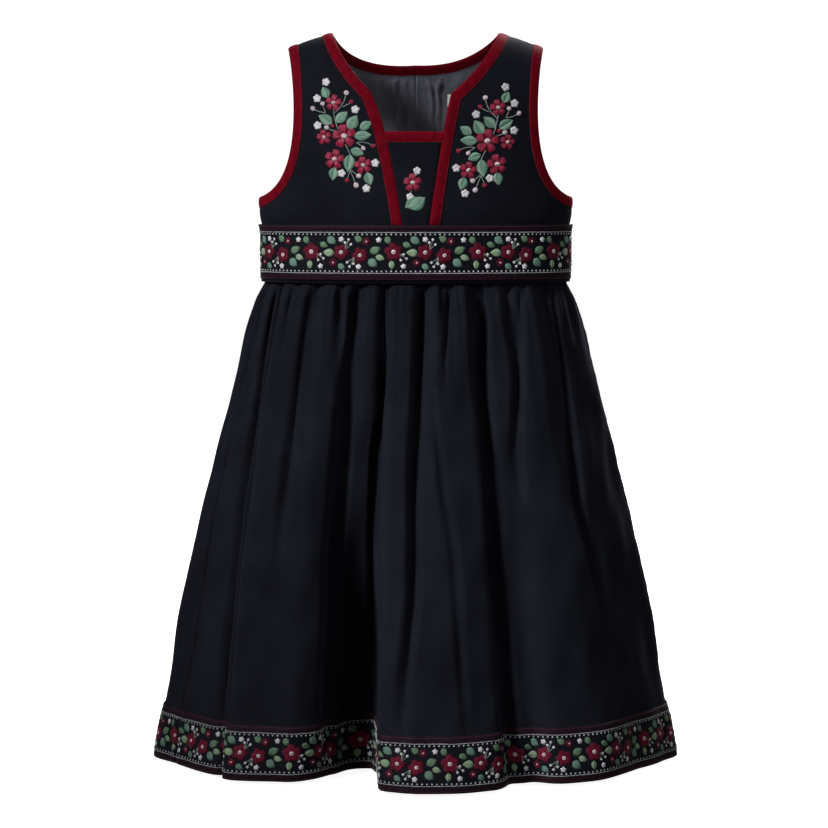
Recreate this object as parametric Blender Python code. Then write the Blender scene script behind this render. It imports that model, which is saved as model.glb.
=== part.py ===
"""A child's sleeveless bunad dress, worn with no wearer: hollow bodice, band and gathered skirt.

Metres, +Z up, the front faces -Y. The origin lies between the shoulders, where the straps rest.
"""

import math

import bmesh
import bpy
import numpy as np
from mathutils import Vector
from mathutils.geometry import delaunay_2d_cdt

# ---------------------------------------------------------------- driving sizes
CHEST_HALF = 0.1388  # half width of the figure under the arms
CHEST_DEPTH = 0.0700  # half depth there
WAIST_HALF = 0.1352
WAIST_DEPTH = 0.0670
WAIST_STARTS = -0.150  # where the figure begins to narrow to the band
WAIST_REACHED = -0.172
SHOULDER_HEIGHT = 0.0168  # where the shoulder line would cross the middle
SHOULDER_FALL = 1.80  # how it drops from there, for each square metre across
SHOULDER_ROUND = 0.0850  # height over which the shoulder rounds into the chest

WAIST_SEAM = -0.2125  # bodice ends, skirt begins
HEM = -0.6430

SEAM_GAP = 0.0003
CLOTH = 0.0014  # wall of the bodice and skirt
BINDING_WALL = 0.0026
BINDING_WIDTH = 0.0095
BINDING_NOSE = 0.0010  # how far the binding's fold runs past the cloth's edge
BAND_WALL = 0.0012
RIBBON_WALL = 0.0010
LINING_WALL = 0.0010

BAND_TOP = -0.1612
BAND_BOTTOM = -0.2120
RIBBON_WIDTH = 0.0483
BAR_TOP = -0.0808  # upper edge of the bar across the front insert
BAR_HEIGHT = 0.0098

PANEL_CELL = 0.0135  # spacing of the points inside a bodice panel
TURN_SCALE = 0.105  # metres of cloth for one radian of turn, about half way round
BAND_COLUMNS = 30
BAND_ROWS = 2
BINDING_STEP = 0.0072  # spacing of the rings along a binding
SKIRT_COLUMNS = 88  # across the front, and again across the back
SKIRT_ROWS = 10
SIDE_SEAM = 0.064  # how far the left side seam lies forward of the side, as a share of the front

# The neck edge, one row a side: its corner and its bottom, and the points that pull the curves
# of the back, above the corner and below it.
NECK_COLUMNS = ("side", "back_pull", "upper_pull", "corner", "lower_pull", "bottom")
NECK_ROWS = (
    (-1, (0.0580, -0.0215), (0.0628, -0.0230), (0.0395, -0.0455), (0.0240, -0.0740), (0.0112, -0.1620)),
    (+1, (0.0470, -0.0195), (0.0560, -0.0280), (0.0305, -0.0480), (0.0235, -0.0760), (0.0112, -0.1620)),
)
NECK_FOOT = 0.0060  # half distance between the edges at the waist seam
NECK_TOP = 0.0735
BACK_NECK_LOW = -0.0175

ARMHOLE_TOP = 0.1130
ARMHOLE_PULLS = ((0.1070, -0.0250), (0.0940, -0.1250))
ARMHOLE_LOW = -0.1370

# The skirt. Each row of FOLDS is one fold of the hem: an angle along the ring (0 is the left side
# seam, 90 the middle of the front, 270 the middle of the back), half its width, the widths of
# its two flanks, and how far it stands out of the ring.
HEM_HALF = 0.2372
HEM_DEPTH = 0.1180
FLARE_BELLY = 0.28  # how much sooner than a straight cone the skirt widens
FOLD_COLUMNS = ("middle", "half_width", "near_flank", "far_flank", "stands_out")
FOLD_ROWS = (
    (22.6, 12.6, 16.0, 22.0, -0.0095),
    (44.6, 0.5, 2.2, 1.4, -0.0120),
    (49.9, 4.6, 3.0, 14.0, 0.0095),
    (75.4, 6.6, 15.0, 2.4, -0.0520),
    (95.2, 13.0, 2.4, 4.5, 0.0190),
    (94.5, 8.0, 8.0, 10.0, 0.0090),
    (115.5, 1.5, 5.0, 4.0, -0.0045),
    (127.0, 8.0, 6.0, 12.0, 0.0100),
    (158.0, 14.5, 14.0, 14.0, -0.0093),
    (203.0, 4.0, 8.0, 8.0, -0.0100),
    (224.0, 3.0, 6.0, 5.0, -0.0240),
    (243.0, 8.0, 6.0, 7.0, 0.0140),
    (260.0, 3.5, 5.0, 5.0, -0.0320),
    (276.0, 6.0, 5.0, 6.0, 0.0180),
    (292.0, 3.5, 5.0, 5.0, -0.0300),
    (309.0, 6.0, 6.0, 7.0, 0.0120),
    (326.0, 2.5, 6.0, 7.0, -0.0200),
    (344.0, 3.0, 8.0, 8.0, 0.0040),
)

FOLD_ROUND = 0.0110  # how far along the hem its corners are rounded

# Where the cloth of the front's hem is gathered to at the waist, both from 0 at the left side
# seam to 1 at the right one. The back is gathered evenly.
GATHER_COLUMNS = ("hem_place", "waist_place")
GATHER_ROWS = (
    (0.000, 0.000),
    (0.176, 0.107),
    (0.255, 0.224),
    (0.345, 0.344),
    (0.408, 0.412),
    (0.512, 0.442),
    (0.540, 0.503),
    (0.660, 0.640),
    (0.710, 0.672),
    (0.820, 0.870),
    (1.000, 1.000),
)

# The pinches between the gathers, one row each: the place at the waist, how far each reaches to
# its two sides, how deep it is and the share of the skirt's length it runs down. The back has
# the same rows from right to left.
PINCH_COLUMNS = ("place", "near_side", "far_side", "depth", "runs_down")
PINCH_ROWS = (
    (0.045, 0.028, 0.028, 0.0035, 0.20),
    (0.107, 0.030, 0.022, 0.0075, 0.45),
    (0.164, 0.022, 0.022, 0.0045, 0.13),
    (0.224, 0.030, 0.036, 0.0085, 0.50),
    (0.297, 0.026, 0.018, 0.0065, 0.20),
    (0.344, 0.026, 0.034, 0.0095, 0.95),
    (0.418, 0.034, 0.030, 0.0095, 0.90),
    (0.503, 0.036, 0.034, 0.0100, 0.90),
    (0.585, 0.030, 0.026, 0.0070, 0.24),
    (0.660, 0.034, 0.030, 0.0100, 0.95),
    (0.700, 0.012, 0.016, 0.0035, 0.09),
    (0.749, 0.028, 0.034, 0.0075, 0.42),
    (0.870, 0.052, 0.030, 0.0080, 0.75),
    (0.945, 0.028, 0.028, 0.0035, 0.25),
)
PINCH_TOP = 0.0065  # how far the gathers between the pinches stand out of the waist's oval
SKIRT_TOP_HALF = 0.1310
SKIRT_TOP_DEPTH = 0.0640
GATHER_OPENS = 0.04  # share of the length over which a gather opens under the band

LABEL_SIZE = (0.020, 0.011)
LABEL_PLACE = (0.0435, -0.0470)

SLIDER_PLACE = -0.0330  # height of the zip slider's top on the centre back
SLIDER_SIZE = (0.0056, 0.0084, 0.0018)
BRIDGE_WIDTH = 0.0014
BRIDGE_WALL = 0.0008
BRIDGE_OPENING = (0.0044, 0.0018)  # along the back and out of it
PULL_SIZE = (0.0052, 0.0210, 0.0011)
PULL_BAR = 0.0011
PULL_WINDOW = (0.0028, 0.0052)

COLOURS = {
    "wool": ((0.012, 0.013, 0.020), 0.85, 0.0),
    "velvet": ((0.170, 0.008, 0.020), 0.75, 0.0),
    "band": ((0.012, 0.013, 0.020), 0.80, 0.0),
    "ribbon": ((0.060, 0.018, 0.030), 0.60, 0.0),
    "lining": ((0.060, 0.062, 0.075), 0.40, 0.0),
    "label": ((0.800, 0.800, 0.780), 0.60, 0.0),
    "zip_metal": ((0.030, 0.031, 0.038), 0.35, 0.8),
}


WORDS = {-1: "left", 1: "right"}


def table(columns, rows):
    return [dict(zip(columns, row)) for row in rows]


NECKS = {row["side"]: row for row in table(NECK_COLUMNS, NECK_ROWS)}
FOLDS = table(FOLD_COLUMNS, FOLD_ROWS)
GATHERS = table(GATHER_COLUMNS, GATHER_ROWS)
PINCHES = table(PINCH_COLUMNS, PINCH_ROWS)


def smooth(t):
    t = np.clip(t, 0.0, 1.0)
    return t * t * (3.0 - 2.0 * t)


def unit(v):
    return v / np.maximum(np.linalg.norm(v, axis=-1, keepdims=True), 1e-12)


# ---------------------------------------------------------------- the figure under the bodice
def half_sizes(z):
    """(half width, half depth) of the figure at a height."""
    narrowed = smooth((WAIST_STARTS - z) / (WAIST_STARTS - WAIST_REACHED))
    return (
        CHEST_HALF + (WAIST_HALF - CHEST_HALF) * narrowed,
        CHEST_DEPTH + (WAIST_DEPTH - CHEST_DEPTH) * narrowed,
    )


def ridge(turn):
    """Height of the shoulder line where the figure has turned this far from its middle."""
    return SHOULDER_HEIGHT - SHOULDER_FALL * (CHEST_HALF * np.sin(turn)) ** 2


def on_figure(turn, down):
    """Points of the figure: turned from its middle, and down from the shoulder line. Down is
    positive at the front and negative at the back."""
    turn, down = np.broadcast_arrays(np.asarray(turn, float), np.asarray(down, float))
    rounded = np.clip(np.abs(down) / SHOULDER_ROUND, 0.0, math.pi / 2)
    straight = np.maximum(np.abs(down) - SHOULDER_ROUND * math.pi / 2, 0.0)
    z = ridge(turn) - SHOULDER_ROUND * (1.0 - np.cos(rounded)) - straight
    half, depth = half_sizes(z)
    x = half * np.sin(turn)
    y = -np.sign(down) * depth * np.cos(turn) * np.sin(rounded)
    return np.stack([x, y, z], axis=-1)


def from_figure(points):
    """The inverse of on_figure: (turn, down) of points that lie on the figure."""
    x, y, z = np.moveaxis(points, -1, 0)
    half, depth = half_sizes(z)
    turn = np.arcsin(np.clip(x / half, -1.0, 1.0))
    fallen = (ridge(turn) - z) / SHOULDER_ROUND
    turn = np.where(fallen >= 1.0, np.arctan2(x / half, np.abs(y) / depth), turn)
    rounded = np.arctan2(np.abs(y) / (depth * np.cos(turn)), 1.0 - fallen)
    straight = ridge(turn) - SHOULDER_ROUND - z + SHOULDER_ROUND * math.pi / 2
    down = np.where(fallen >= 1.0, straight, SHOULDER_ROUND * np.clip(rounded, 0, math.pi / 2))
    return turn, np.where(y > 0, -down, down)


def off_figure(points):
    """Zero on the figure's skin, above zero outside it."""
    x, y, z = np.moveaxis(points, -1, 0)
    half, depth = half_sizes(z)
    turn = np.arcsin(np.clip(x / half, -1.0, 1.0))
    above = np.clip(1.0 - (ridge(turn) - z) / SHOULDER_ROUND, 0.0, None)
    return (x / half) ** 2 + (y / depth) ** 2 + above**2 * (1.0 - (x / half) ** 2) - 1.0


def slope_of(points):
    """Gradient of off_figure, which points out of the figure."""
    small = 1e-6
    return np.stack(
        [
            (off_figure(points + small * axis) - off_figure(points - small * axis)) / (2 * small)
            for axis in np.eye(3)
        ],
        axis=-1,
    )


def settled(points):
    """Points pulled back onto the figure's skin."""
    for _ in range(3):
        steep = slope_of(points)
        miss = off_figure(points) / np.maximum((steep**2).sum(-1), 1e-9)
        points = points - steep * miss[..., None]
    return points


def way_out(points):
    return unit(slope_of(points))


def raised(points, rise):
    return points + way_out(points) * rise


def walked(path, distance, closed=False, steps=4):
    """A path moved sideways over the figure by a distance, to the left of its direction."""
    for _ in range(steps):
        if closed:
            along = np.roll(path, -1, axis=0) - np.roll(path, 1, axis=0)
        else:
            along = np.gradient(path, axis=0)
        sideways = unit(np.cross(way_out(path), unit(along)))
        path = settled(path + sideways * distance / steps)
    return path


def respaced(path, step, closed=False):
    """A path with points at even spacing, near step."""
    if closed:
        path = np.vstack([path, path[:1]])
    lengths = np.linalg.norm(np.diff(path, axis=0), axis=1)
    reached = np.concatenate([[0.0], np.cumsum(lengths)])
    count = max(2, round(reached[-1] / step))
    wanted = np.linspace(0.0, reached[-1], count + 1)
    spaced = np.stack([np.interp(wanted, reached, path[:, k]) for k in range(3)], axis=1)
    return settled(spaced[:-1] if closed else spaced)


def bend(ends, pulls, count=24):
    """Points of a Bezier curve between two ends."""
    spots = [np.array(p, float) for p in (ends[0], *pulls, ends[1])]
    degree = len(spots) - 1
    t = np.linspace(0.0, 1.0, count)[:, None]
    return sum(
        math.comb(degree, k) * t**k * (1 - t) ** (degree - k) * spot
        for k, spot in enumerate(spots)
    )


def drawn_on(flat, back=False):
    """Points given by x and z, as seen from the front, put onto the front or back of the figure."""
    x, z = flat[:, 0], flat[:, 1]
    half, _ = half_sizes(z)
    turn = np.arcsin(np.clip(x / half, -1.0, 1.0))
    fallen = np.maximum((ridge(turn) - z) / SHOULDER_ROUND, 0.0)
    rounded = np.arccos(np.clip(1.0 - fallen, 0.0, 1.0)) * SHOULDER_ROUND
    down = rounded + np.maximum(fallen - 1.0, 0.0) * SHOULDER_ROUND
    return on_figure(turn, -down if back else down)


# ---------------------------------------------------------------- edges of the bodice
def ridge_at(x):
    return float(ridge(math.asin(abs(x) / CHEST_HALF)))


def neck_edge(side):
    """The opening's edge on one side: up the front, over the shoulder and to the centre back."""
    row = NECKS[side]
    top = (NECK_TOP, ridge_at(NECK_TOP))
    foot = [(NECK_FOOT, WAIST_SEAM), row["bottom"]]
    lower = bend((row["bottom"], row["corner"]), [row["lower_pull"]])
    upper = bend((row["corner"], top), [row["upper_pull"]])
    front = np.vstack([foot[:1], lower, upper[1:]])
    back = bend((top, (0.0, BACK_NECK_LOW)), [row["back_pull"]])
    front[:, 0] *= side
    back[:, 0] *= side
    front, back = drawn_on(front), drawn_on(back, back=True)
    front = respaced(front, BINDING_STEP)
    back = respaced(back, BINDING_STEP)
    front[-1] = back[0]
    return np.vstack([front, back[1:]]), len(front)


def armhole_edge(side):
    """The armhole's closed edge: down the front from the shoulder, and up the back."""
    top = (ARMHOLE_TOP, ridge_at(ARMHOLE_TOP))
    outline = bend((top, (CHEST_HALF, ARMHOLE_LOW)), ARMHOLE_PULLS, 40)
    outline[:, 0] *= side
    front = respaced(drawn_on(outline), BINDING_STEP)
    back = front[::-1] * np.array([1.0, -1.0, 1.0])
    return np.vstack([front, back[1:-1]]), len(front)


def clamped(path, side):
    """Keeps the two ends of a neck path at the waist seam and at the centre back."""
    path = path.copy()
    path[:, 2] = np.maximum(path[:, 2], WAIST_SEAM)
    path[:, 0] = side * np.maximum(side * path[:, 0], SEAM_GAP / 2)
    path[0, 2] = WAIST_SEAM
    path[-1, 0] = side * SEAM_GAP / 2
    return path


def neck_line(side, distance):
    """The neck edge moved into the cloth by a distance, and where its shoulder point is."""
    edge, shoulder = neck_edge(side)
    return clamped(walked(edge, -side * distance), side), shoulder - 1


def armhole_line(side, distance):
    edge, shoulder = armhole_edge(side)
    return walked(edge, -side * distance, closed=True), shoulder - 1


# ---------------------------------------------------------------- making objects
def material_of(name):
    found = bpy.data.materials.get(name)
    if found:
        return found
    colour, roughness, metallic = COLOURS[name]
    made = bpy.data.materials.new(name)
    made.use_nodes = True
    shader = made.node_tree.nodes["Principled BSDF"]
    shader.inputs["Base Color"].default_value = (*colour, 1.0)
    shader.inputs["Roughness"].default_value = roughness
    shader.inputs["Metallic"].default_value = metallic
    return made


def new_object(name, made, material, group=None):
    """Puts a bmesh into a new object of the dress, or of another group."""
    mesh = bpy.data.meshes.new(name)
    made.to_mesh(mesh)
    made.free()
    if material:
        mesh.materials.append(material_of(material))
    obj = bpy.data.objects.new(name, mesh)
    (group or dress).objects.link(obj)
    return obj


def walled(name, made, points, outs, wall, rise, material):
    """Turns an open sheet into a wall. Each of its points goes to a place in points and out of
    the dress along outs, by the rise; the wall lies half to each side of that."""
    made.verts.ensure_lookup_table()
    way = made.verts.layers.float_vector.new("way_out")
    for vert, point, out in zip(made.verts, points, outs):
        vert.co = point + out * (rise - wall / 2)
        vert[way] = out
    grown = bmesh.ops.extrude_face_region(made, geom=made.faces[:], use_keep_orig=True)
    for vert in grown["geom"]:
        if isinstance(vert, bmesh.types.BMVert):
            vert.co += vert[way] * wall
    bmesh.ops.recalc_face_normals(made, faces=made.faces)
    return new_object(name, made, material)


def grid_wall(name, columns, rows, shape, wall, rise, material):
    """A wall over a grid. shape gives the points and the ways out for shares of the grid: across
    from the left of the front to its right, and down."""
    made = bmesh.new()
    bmesh.ops.create_grid(made, x_segments=columns, y_segments=rows, size=0.5)
    places = np.array([vert.co for vert in made.verts])
    points, outs = shape(np.round(places[:, 0] + 0.5, 6), np.round(0.5 - places[:, 1], 6))
    return walled(name, made, points, outs, wall, rise, material)


# ---------------------------------------------------------------- panels cut for the bodice
def inside(outline, spots, clearance):
    """Which spots lie inside a flat outline and further than the clearance from it."""
    kept = []
    starts, ends = outline, np.roll(outline, -1, axis=0)
    run = ends - starts
    for spot in spots:
        over = (starts[:, 1] > spot[1]) != (ends[:, 1] > spot[1])
        safe = np.where(run[:, 1] == 0, 1.0, run[:, 1])
        crossing = starts[:, 0] + (spot[1] - starts[:, 1]) * run[:, 0] / safe
        if np.count_nonzero(over & (crossing > spot[0])) % 2 == 0:
            continue
        share = ((spot - starts) * run).sum(1) / np.maximum((run**2).sum(1), 1e-12)
        nearest = starts + np.clip(share, 0, 1)[:, None] * run
        if np.linalg.norm(spot - nearest, axis=1).min() > clearance:
            kept.append(spot)
    return np.array(kept).reshape(-1, 2)


def panel(name, outline, wall, material, rise=0.0):
    """A panel of the bodice, cut to an outline of (turn, down) and filled with triangles."""
    scale = np.array([TURN_SCALE, 1.0])
    rim = np.asarray(outline, float) * scale
    low, high = rim.min(0), rim.max(0)
    across = np.arange(low[0] + PANEL_CELL / 2, high[0], PANEL_CELL)
    below = np.arange(low[1] + PANEL_CELL / 2, high[1], PANEL_CELL * math.sqrt(0.75))
    rows = [(u + PANEL_CELL / 2 * (k % 2), v) for k, v in enumerate(below) for u in across]
    middle = inside(rim, np.array(rows), PANEL_CELL * 0.55)
    spots = [Vector(p) for p in np.vstack([rim, middle])]
    edges = [(k, (k + 1) % len(rim)) for k in range(len(rim))]
    only_inside = 1
    found, _, faces, *_ = delaunay_2d_cdt(spots, edges, [], only_inside, 1e-7)
    turned = np.array([tuple(spot) for spot in found]) / scale
    points = on_figure(turned[:, 0], turned[:, 1])
    made = bmesh.new()
    verts = [made.verts.new(tuple(p)) for p in points]
    for face in faces:
        made.faces.new([verts[k] for k in face])
    return walled(name, made, points, way_out(points), wall, rise, material)


# ---------------------------------------------------------------- bodice
def level_row(turns, height, back=False):
    """(turn, down) of points at one height of the bodice."""
    down = ridge(turns) - SHOULDER_ROUND - height + SHOULDER_ROUND * math.pi / 2
    return np.stack([turns, -down if back else down], axis=1)


def side_turn(side):
    """The turn of the side seam, half a gap short of the very side."""
    return side * (math.pi / 2 - SEAM_GAP / 2 / CHEST_DEPTH)


def as_turns(path):
    """A path on the figure as (turn, down), kept off the side seam."""
    turn, down = from_figure(path)
    limit = side_turn(1)
    return np.stack([np.clip(turn, -limit, limit), down], axis=1)


def front_outline(side):
    neck, shoulder = neck_line(side, BINDING_WIDTH + SEAM_GAP)
    arm, arm_low = armhole_line(side, BINDING_WIDTH + SEAM_GAP)
    inner = as_turns(neck[: shoulder + 1])
    outer = as_turns(arm[: arm_low + 1])
    inner[-1, 1] = outer[0, 1] = SEAM_GAP / 2
    outer[-1, 0] = side_turn(side)
    low = level_row(np.linspace(side_turn(side), inner[0, 0], 14), WAIST_SEAM)
    side_seam = np.linspace(outer[-1], low[0], 7)
    return np.vstack([inner, outer, side_seam[1:-1], low[:-1]])


def back_outline(side):
    neck, shoulder = neck_line(side, BINDING_WIDTH + SEAM_GAP)
    arm, arm_low = armhole_line(side, BINDING_WIDTH + SEAM_GAP)
    top = as_turns(neck[shoulder:])
    outer = as_turns(np.vstack([arm[arm_low:], arm[:1]]))
    top[0, 1] = outer[-1, 1] = -SEAM_GAP / 2
    outer[0] = (side_turn(side), -abs(outer[0, 1]))
    top[-1, 0] = side * SEAM_GAP / 2 / CHEST_HALF
    low = level_row(np.linspace(top[-1, 0], side_turn(side), 14), WAIST_SEAM, back=True)
    centre = np.linspace(top[-1], low[0], 14)
    side_seam = np.linspace(low[-1], outer[0], 7)
    return np.vstack([top, centre[1:-1], low, side_seam[1:-1], outer])


def neck_turns(side, heights):
    """The turn of the opening's edge at some heights of the front, a seam's gap inside it."""
    path, shoulder = neck_line(side, -SEAM_GAP)
    front = path[: shoulder + 1]
    return np.interp(heights, front[:, 2], as_turns(front)[:, 0])


def insert_outline():
    """The insert between the two bindings, under its bar."""
    top_height = BAR_TOP - BAR_HEIGHT - SEAM_GAP
    heights = np.linspace(WAIST_SEAM, top_height, 11)
    left, right = (level_row(neck_turns(side, heights), heights) for side in (-1, 1))
    top = level_row(np.linspace(left[-1, 0], right[-1, 0], 5), top_height)
    foot = level_row(np.linspace(right[0, 0], left[0, 0], 3), WAIST_SEAM)
    return np.vstack([left[:-1], top, right[::-1][1:-1], foot[:-1]])


def binding(name, edge, inner, outer, closed):
    """A folded strip along an edge: a narrow fold at the opening and a flat leg on each face. It
    is a loft through five-cornered rings."""
    half = BINDING_WALL / 2
    leg_out, leg_in = ([raised(line, r) for line in (inner, outer)] for r in (half, -half))
    corners = [edge, *leg_out, *reversed(leg_in)]
    made = bmesh.new()
    rings = [[made.verts.new(tuple(p)) for p in ring] for ring in np.stack(corners, axis=1)]
    following = rings[1:] + rings[:1] if closed else rings[1:]
    for here, there in zip(rings, following):
        for j in range(len(here)):
            i = (j + 1) % len(here)
            made.faces.new((here[j], there[j], there[i], here[i]))
    if not closed:
        made.faces.new(rings[0])
        made.faces.new(rings[-1])
    bmesh.ops.recalc_face_normals(made, faces=made.faces)
    return new_object(name, made, "velvet")


def neck_binding(side):
    edge, inner, outer = (neck_line(side, d)[0] for d in (0.0, BINDING_NOSE, BINDING_WIDTH))
    return binding(f"neck_binding_{WORDS[side]}", edge, inner, outer, closed=False)


def armhole_binding(side):
    edge, inner, outer = (armhole_line(side, d)[0] for d in (0.0, BINDING_NOSE, BINDING_WIDTH))
    return binding(f"armhole_binding_{WORDS[side]}", edge, inner, outer, closed=True)


def insert_bar():
    """The short binding along the top of the insert, from one neck binding to the other."""
    lines = []
    for height in (BAR_TOP, BAR_TOP - BINDING_NOSE, BAR_TOP - BAR_HEIGHT):
        left, right = (neck_turns(side, height) for side in (-1, 1))
        row = level_row(np.linspace(left, right, 9), height)
        lines.append(on_figure(row[:, 0], row[:, 1]))
    return binding("insert_binding", *lines, closed=False)


# ---------------------------------------------------------------- lining and label
def lining(side):
    """The satin lining of the back, cut like the back and lying inside it."""
    rise = -(CLOTH / 2 + SEAM_GAP + LINING_WALL / 2)
    return panel(f"lining_back_{WORDS[side]}", back_outline(side), LINING_WALL, "lining", rise)


def size_label():
    """A plain label sewn to the lining beside the neck."""
    rise = -(CLOTH / 2 + 2 * SEAM_GAP + 1.5 * LINING_WALL)

    def shape(across, below):
        x = LABEL_PLACE[0] + (0.5 - across) * LABEL_SIZE[0]
        z = LABEL_PLACE[1] + (0.5 - below) * LABEL_SIZE[1]
        points = drawn_on(np.stack([x, z], axis=1), back=True)
        return points, way_out(points)

    return grid_wall("size_label", 2, 2, shape, LINING_WALL, rise, "label")


# ---------------------------------------------------------------- band and its ribbon
def waist_strips(kind, bottom, rise, wall, material):
    """A level strip round the waist, in three lengths with seams at the sides and centre back."""
    spans = (
        ("front", -math.pi / 2, math.pi / 2, BAND_COLUMNS),
        ("back_right", math.pi / 2, math.pi, BAND_COLUMNS // 2),
        ("back_left", math.pi, 1.5 * math.pi, BAND_COLUMNS // 2),
    )
    for word, first, last, columns in spans:

        def shape(across, below, first=first, last=last):
            turn = first + (last - first) * across
            half, depth = half_sizes(BAND_TOP + (bottom - BAND_TOP) * below)
            height = BAND_TOP + (bottom - BAND_TOP) * below
            points = np.stack([half * np.sin(turn), -depth * np.cos(turn), height], axis=1)
            along = unit(np.stack([half * np.cos(turn), depth * np.sin(turn), 0 * turn], axis=1))
            outs = np.cross(along, (0.0, 0.0, 1.0))
            return seamed(points, along, across), outs

        grid_wall(f"{kind}_{word}", columns, BAND_ROWS, shape, wall, rise, material)


def seamed(points, along, across):
    """Draws the two ends of a strip back by half a seam's gap."""
    ends = (across == 0.0).astype(float) - (across == 1.0)
    return points + along * ends[:, None] * SEAM_GAP / 2


# ---------------------------------------------------------------- skirt
def oval(angle, half, depth):
    """A point of an oval ring: 0 is the left side, 90 degrees the front, 270 the back."""
    return np.stack([-half * np.cos(angle), -depth * np.sin(angle)], axis=-1)


def oval_outward(angle, half, depth):
    return unit(np.stack([-depth * np.cos(angle), -half * np.sin(angle)], axis=-1))


def fold_depth(angle):
    """How far the hem stands out of its oval at an angle in degrees: the sum of its folds."""
    out = np.zeros_like(angle)
    for fold in FOLDS:
        near = (angle - fold["middle"] + fold["half_width"]) / fold["near_flank"] + 0.5
        far = (fold["middle"] + fold["half_width"] - angle) / fold["far_flank"] + 0.5
        out += fold["stands_out"] * smooth(near) * smooth(far)
    return out


def even_run(points):
    """The share of a line's length that is reached at each of its points."""
    reached = np.concatenate([[0.0], np.cumsum(np.linalg.norm(np.diff(points, axis=0), axis=1))])
    return reached / reached[-1]


FINE = 4001


def with_round_corners(points, reach):
    """A line with its corners rounded, its ends kept and its points spaced evenly."""
    even = np.linspace(0.0, 1.0, FINE)
    run = even_run(points)
    points = np.stack([np.interp(even, run, points[:, k]) for k in range(2)], axis=1)
    length = np.linalg.norm(np.diff(points, axis=0), axis=1).sum()
    half = round(reach / length * FINE)
    weights = np.hanning(2 * half + 3)[1:-1]
    weights /= weights.sum()
    before = 2 * points[0] - points[half:0:-1]
    after = 2 * points[-1] - points[-2 : -half - 2 : -1]
    longer = np.vstack([before, points, after])
    return np.stack([np.convolve(longer[:, k], weights, "valid") for k in range(2)], axis=1)


def hem_line(back):
    """Half of the hem: the share of its cloth reached at each point, and the points."""
    degrees = np.linspace(180.0, 360.0, FINE) if back else np.linspace(0.0, 180.0, FINE)
    angle = np.radians(degrees)
    points = oval(angle, HEM_HALF, HEM_DEPTH)
    points = points + oval_outward(angle, HEM_HALF, HEM_DEPTH) * fold_depth(degrees)[:, None]
    points = with_round_corners(points, FOLD_ROUND)
    return even_run(points), points


def waist_line(back):
    angle = np.linspace(math.pi, 2 * math.pi, FINE) if back else np.linspace(0.0, math.pi, FINE)
    points = oval(angle, SKIRT_TOP_HALF, SKIRT_TOP_DEPTH)
    return even_run(points), points, oval_outward(angle, SKIRT_TOP_HALF, SKIRT_TOP_DEPTH)


def gathered_to(place):
    """The place at the waist of a place along the front's hem."""
    even = np.linspace(-0.2, 1.2, 1401)
    hem = [row["hem_place"] for row in GATHERS]
    waist = [row["waist_place"] for row in GATHERS]
    inside_it = np.interp(even, hem, waist)
    beyond = np.where(even < 0, even, np.where(even > 1, even, inside_it))
    weights = np.hanning(43)[1:-1]
    soft = np.convolve(beyond, weights / weights.sum(), "same")
    return np.interp(place, even, soft)


def pinched(place, fallen, mirrored):
    """How far the gathers stand out at a place of the waist and a share of the length."""
    out = np.full(np.broadcast(place, fallen).shape, PINCH_TOP)
    for pinch in PINCHES:
        away = place - pinch["place"]
        near, far = pinch["near_side"], pinch["far_side"]
        if mirrored:
            away, near, far = place - 1.0 + pinch["place"], far, near
        across = np.clip(np.where(away < 0, away / near, away / far), -1.0, 1.0)
        dying = 1.0 - smooth(fallen / pinch["runs_down"])
        out -= pinch["depth"] * np.cos(across * math.pi / 2) ** 2 * dying
    opening = 0.55 + 0.45 * smooth(fallen / GATHER_OPENS)
    return out * opening * (1.0 - fallen)


RINGS = {back: (hem_line(back), waist_line(back)) for back in (False, True)}
SKIRT_TOP = WAIST_SEAM - SEAM_GAP


def half_skirt(place, fallen, back):
    """Points of the front or the back half of the skirt, by the share of that half's hem."""
    (hem_run, hem_points), (top_run, top_points, top_out) = RINGS[back]
    waist = place if back else gathered_to(place)

    def at(where, run, values):
        return np.stack([np.interp(where, run, values[:, k]) for k in range(2)], axis=-1)

    spread = (fallen + FLARE_BELLY * fallen * (1.0 - fallen))[..., None]
    flat = at(waist, top_run, top_points) * (1.0 - spread)
    flat = flat + at(place, hem_run, hem_points) * spread
    return flat + at(waist, top_run, top_out) * pinched(waist, fallen, back)[..., None]


def skirt_points(place, fallen):
    """Points of the skirt. The place is 0 at the left side, 1 at the right and 2 back at the
    left; fallen is the share of the skirt's length."""
    place = np.mod(place, 2.0)
    front = half_skirt(np.minimum(place, 1.0), fallen, False)
    rear = half_skirt(np.maximum(place - 1.0, 0.0), fallen, True)
    flat = np.where((place < 1.0)[..., None], front, rear)
    z = SKIRT_TOP + (HEM - SKIRT_TOP) * fallen
    return np.concatenate([flat, z[..., None]], axis=-1)


def skirt_strips(kind, top, rows, rise, wall, material, crowding=1.0):
    """A strip round the skirt from a height down to the hem, as the front and the two halves of
    the back. Crowding above 1 draws its rows together near the top, where the gathers are."""
    spans = (
        ("front", SIDE_SEAM, 1.0, SKIRT_COLUMNS),
        ("back_right", 1.0, 1.5, SKIRT_COLUMNS // 2),
        ("back_left", 1.5, 2.0 + SIDE_SEAM, SKIRT_COLUMNS // 2),
    )
    small = 1e-4
    for word, first, last, columns in spans:

        def shape(across, below, first=first, last=last):
            place = first + (last - first) * across
            height = top + (HEM - top) * below**crowding
            fallen = (height - SKIRT_TOP) / (HEM - SKIRT_TOP)
            points = skirt_points(place, fallen)
            along = skirt_points(place + small, fallen) - skirt_points(place - small, fallen)
            down = skirt_points(place, fallen + small) - skirt_points(place, fallen - small)
            outs = unit(np.cross(down, along))
            return seamed(points, unit(along), across), outs

        grid_wall(f"{kind}_{word}", columns, rows, shape, wall, rise, material)


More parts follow.
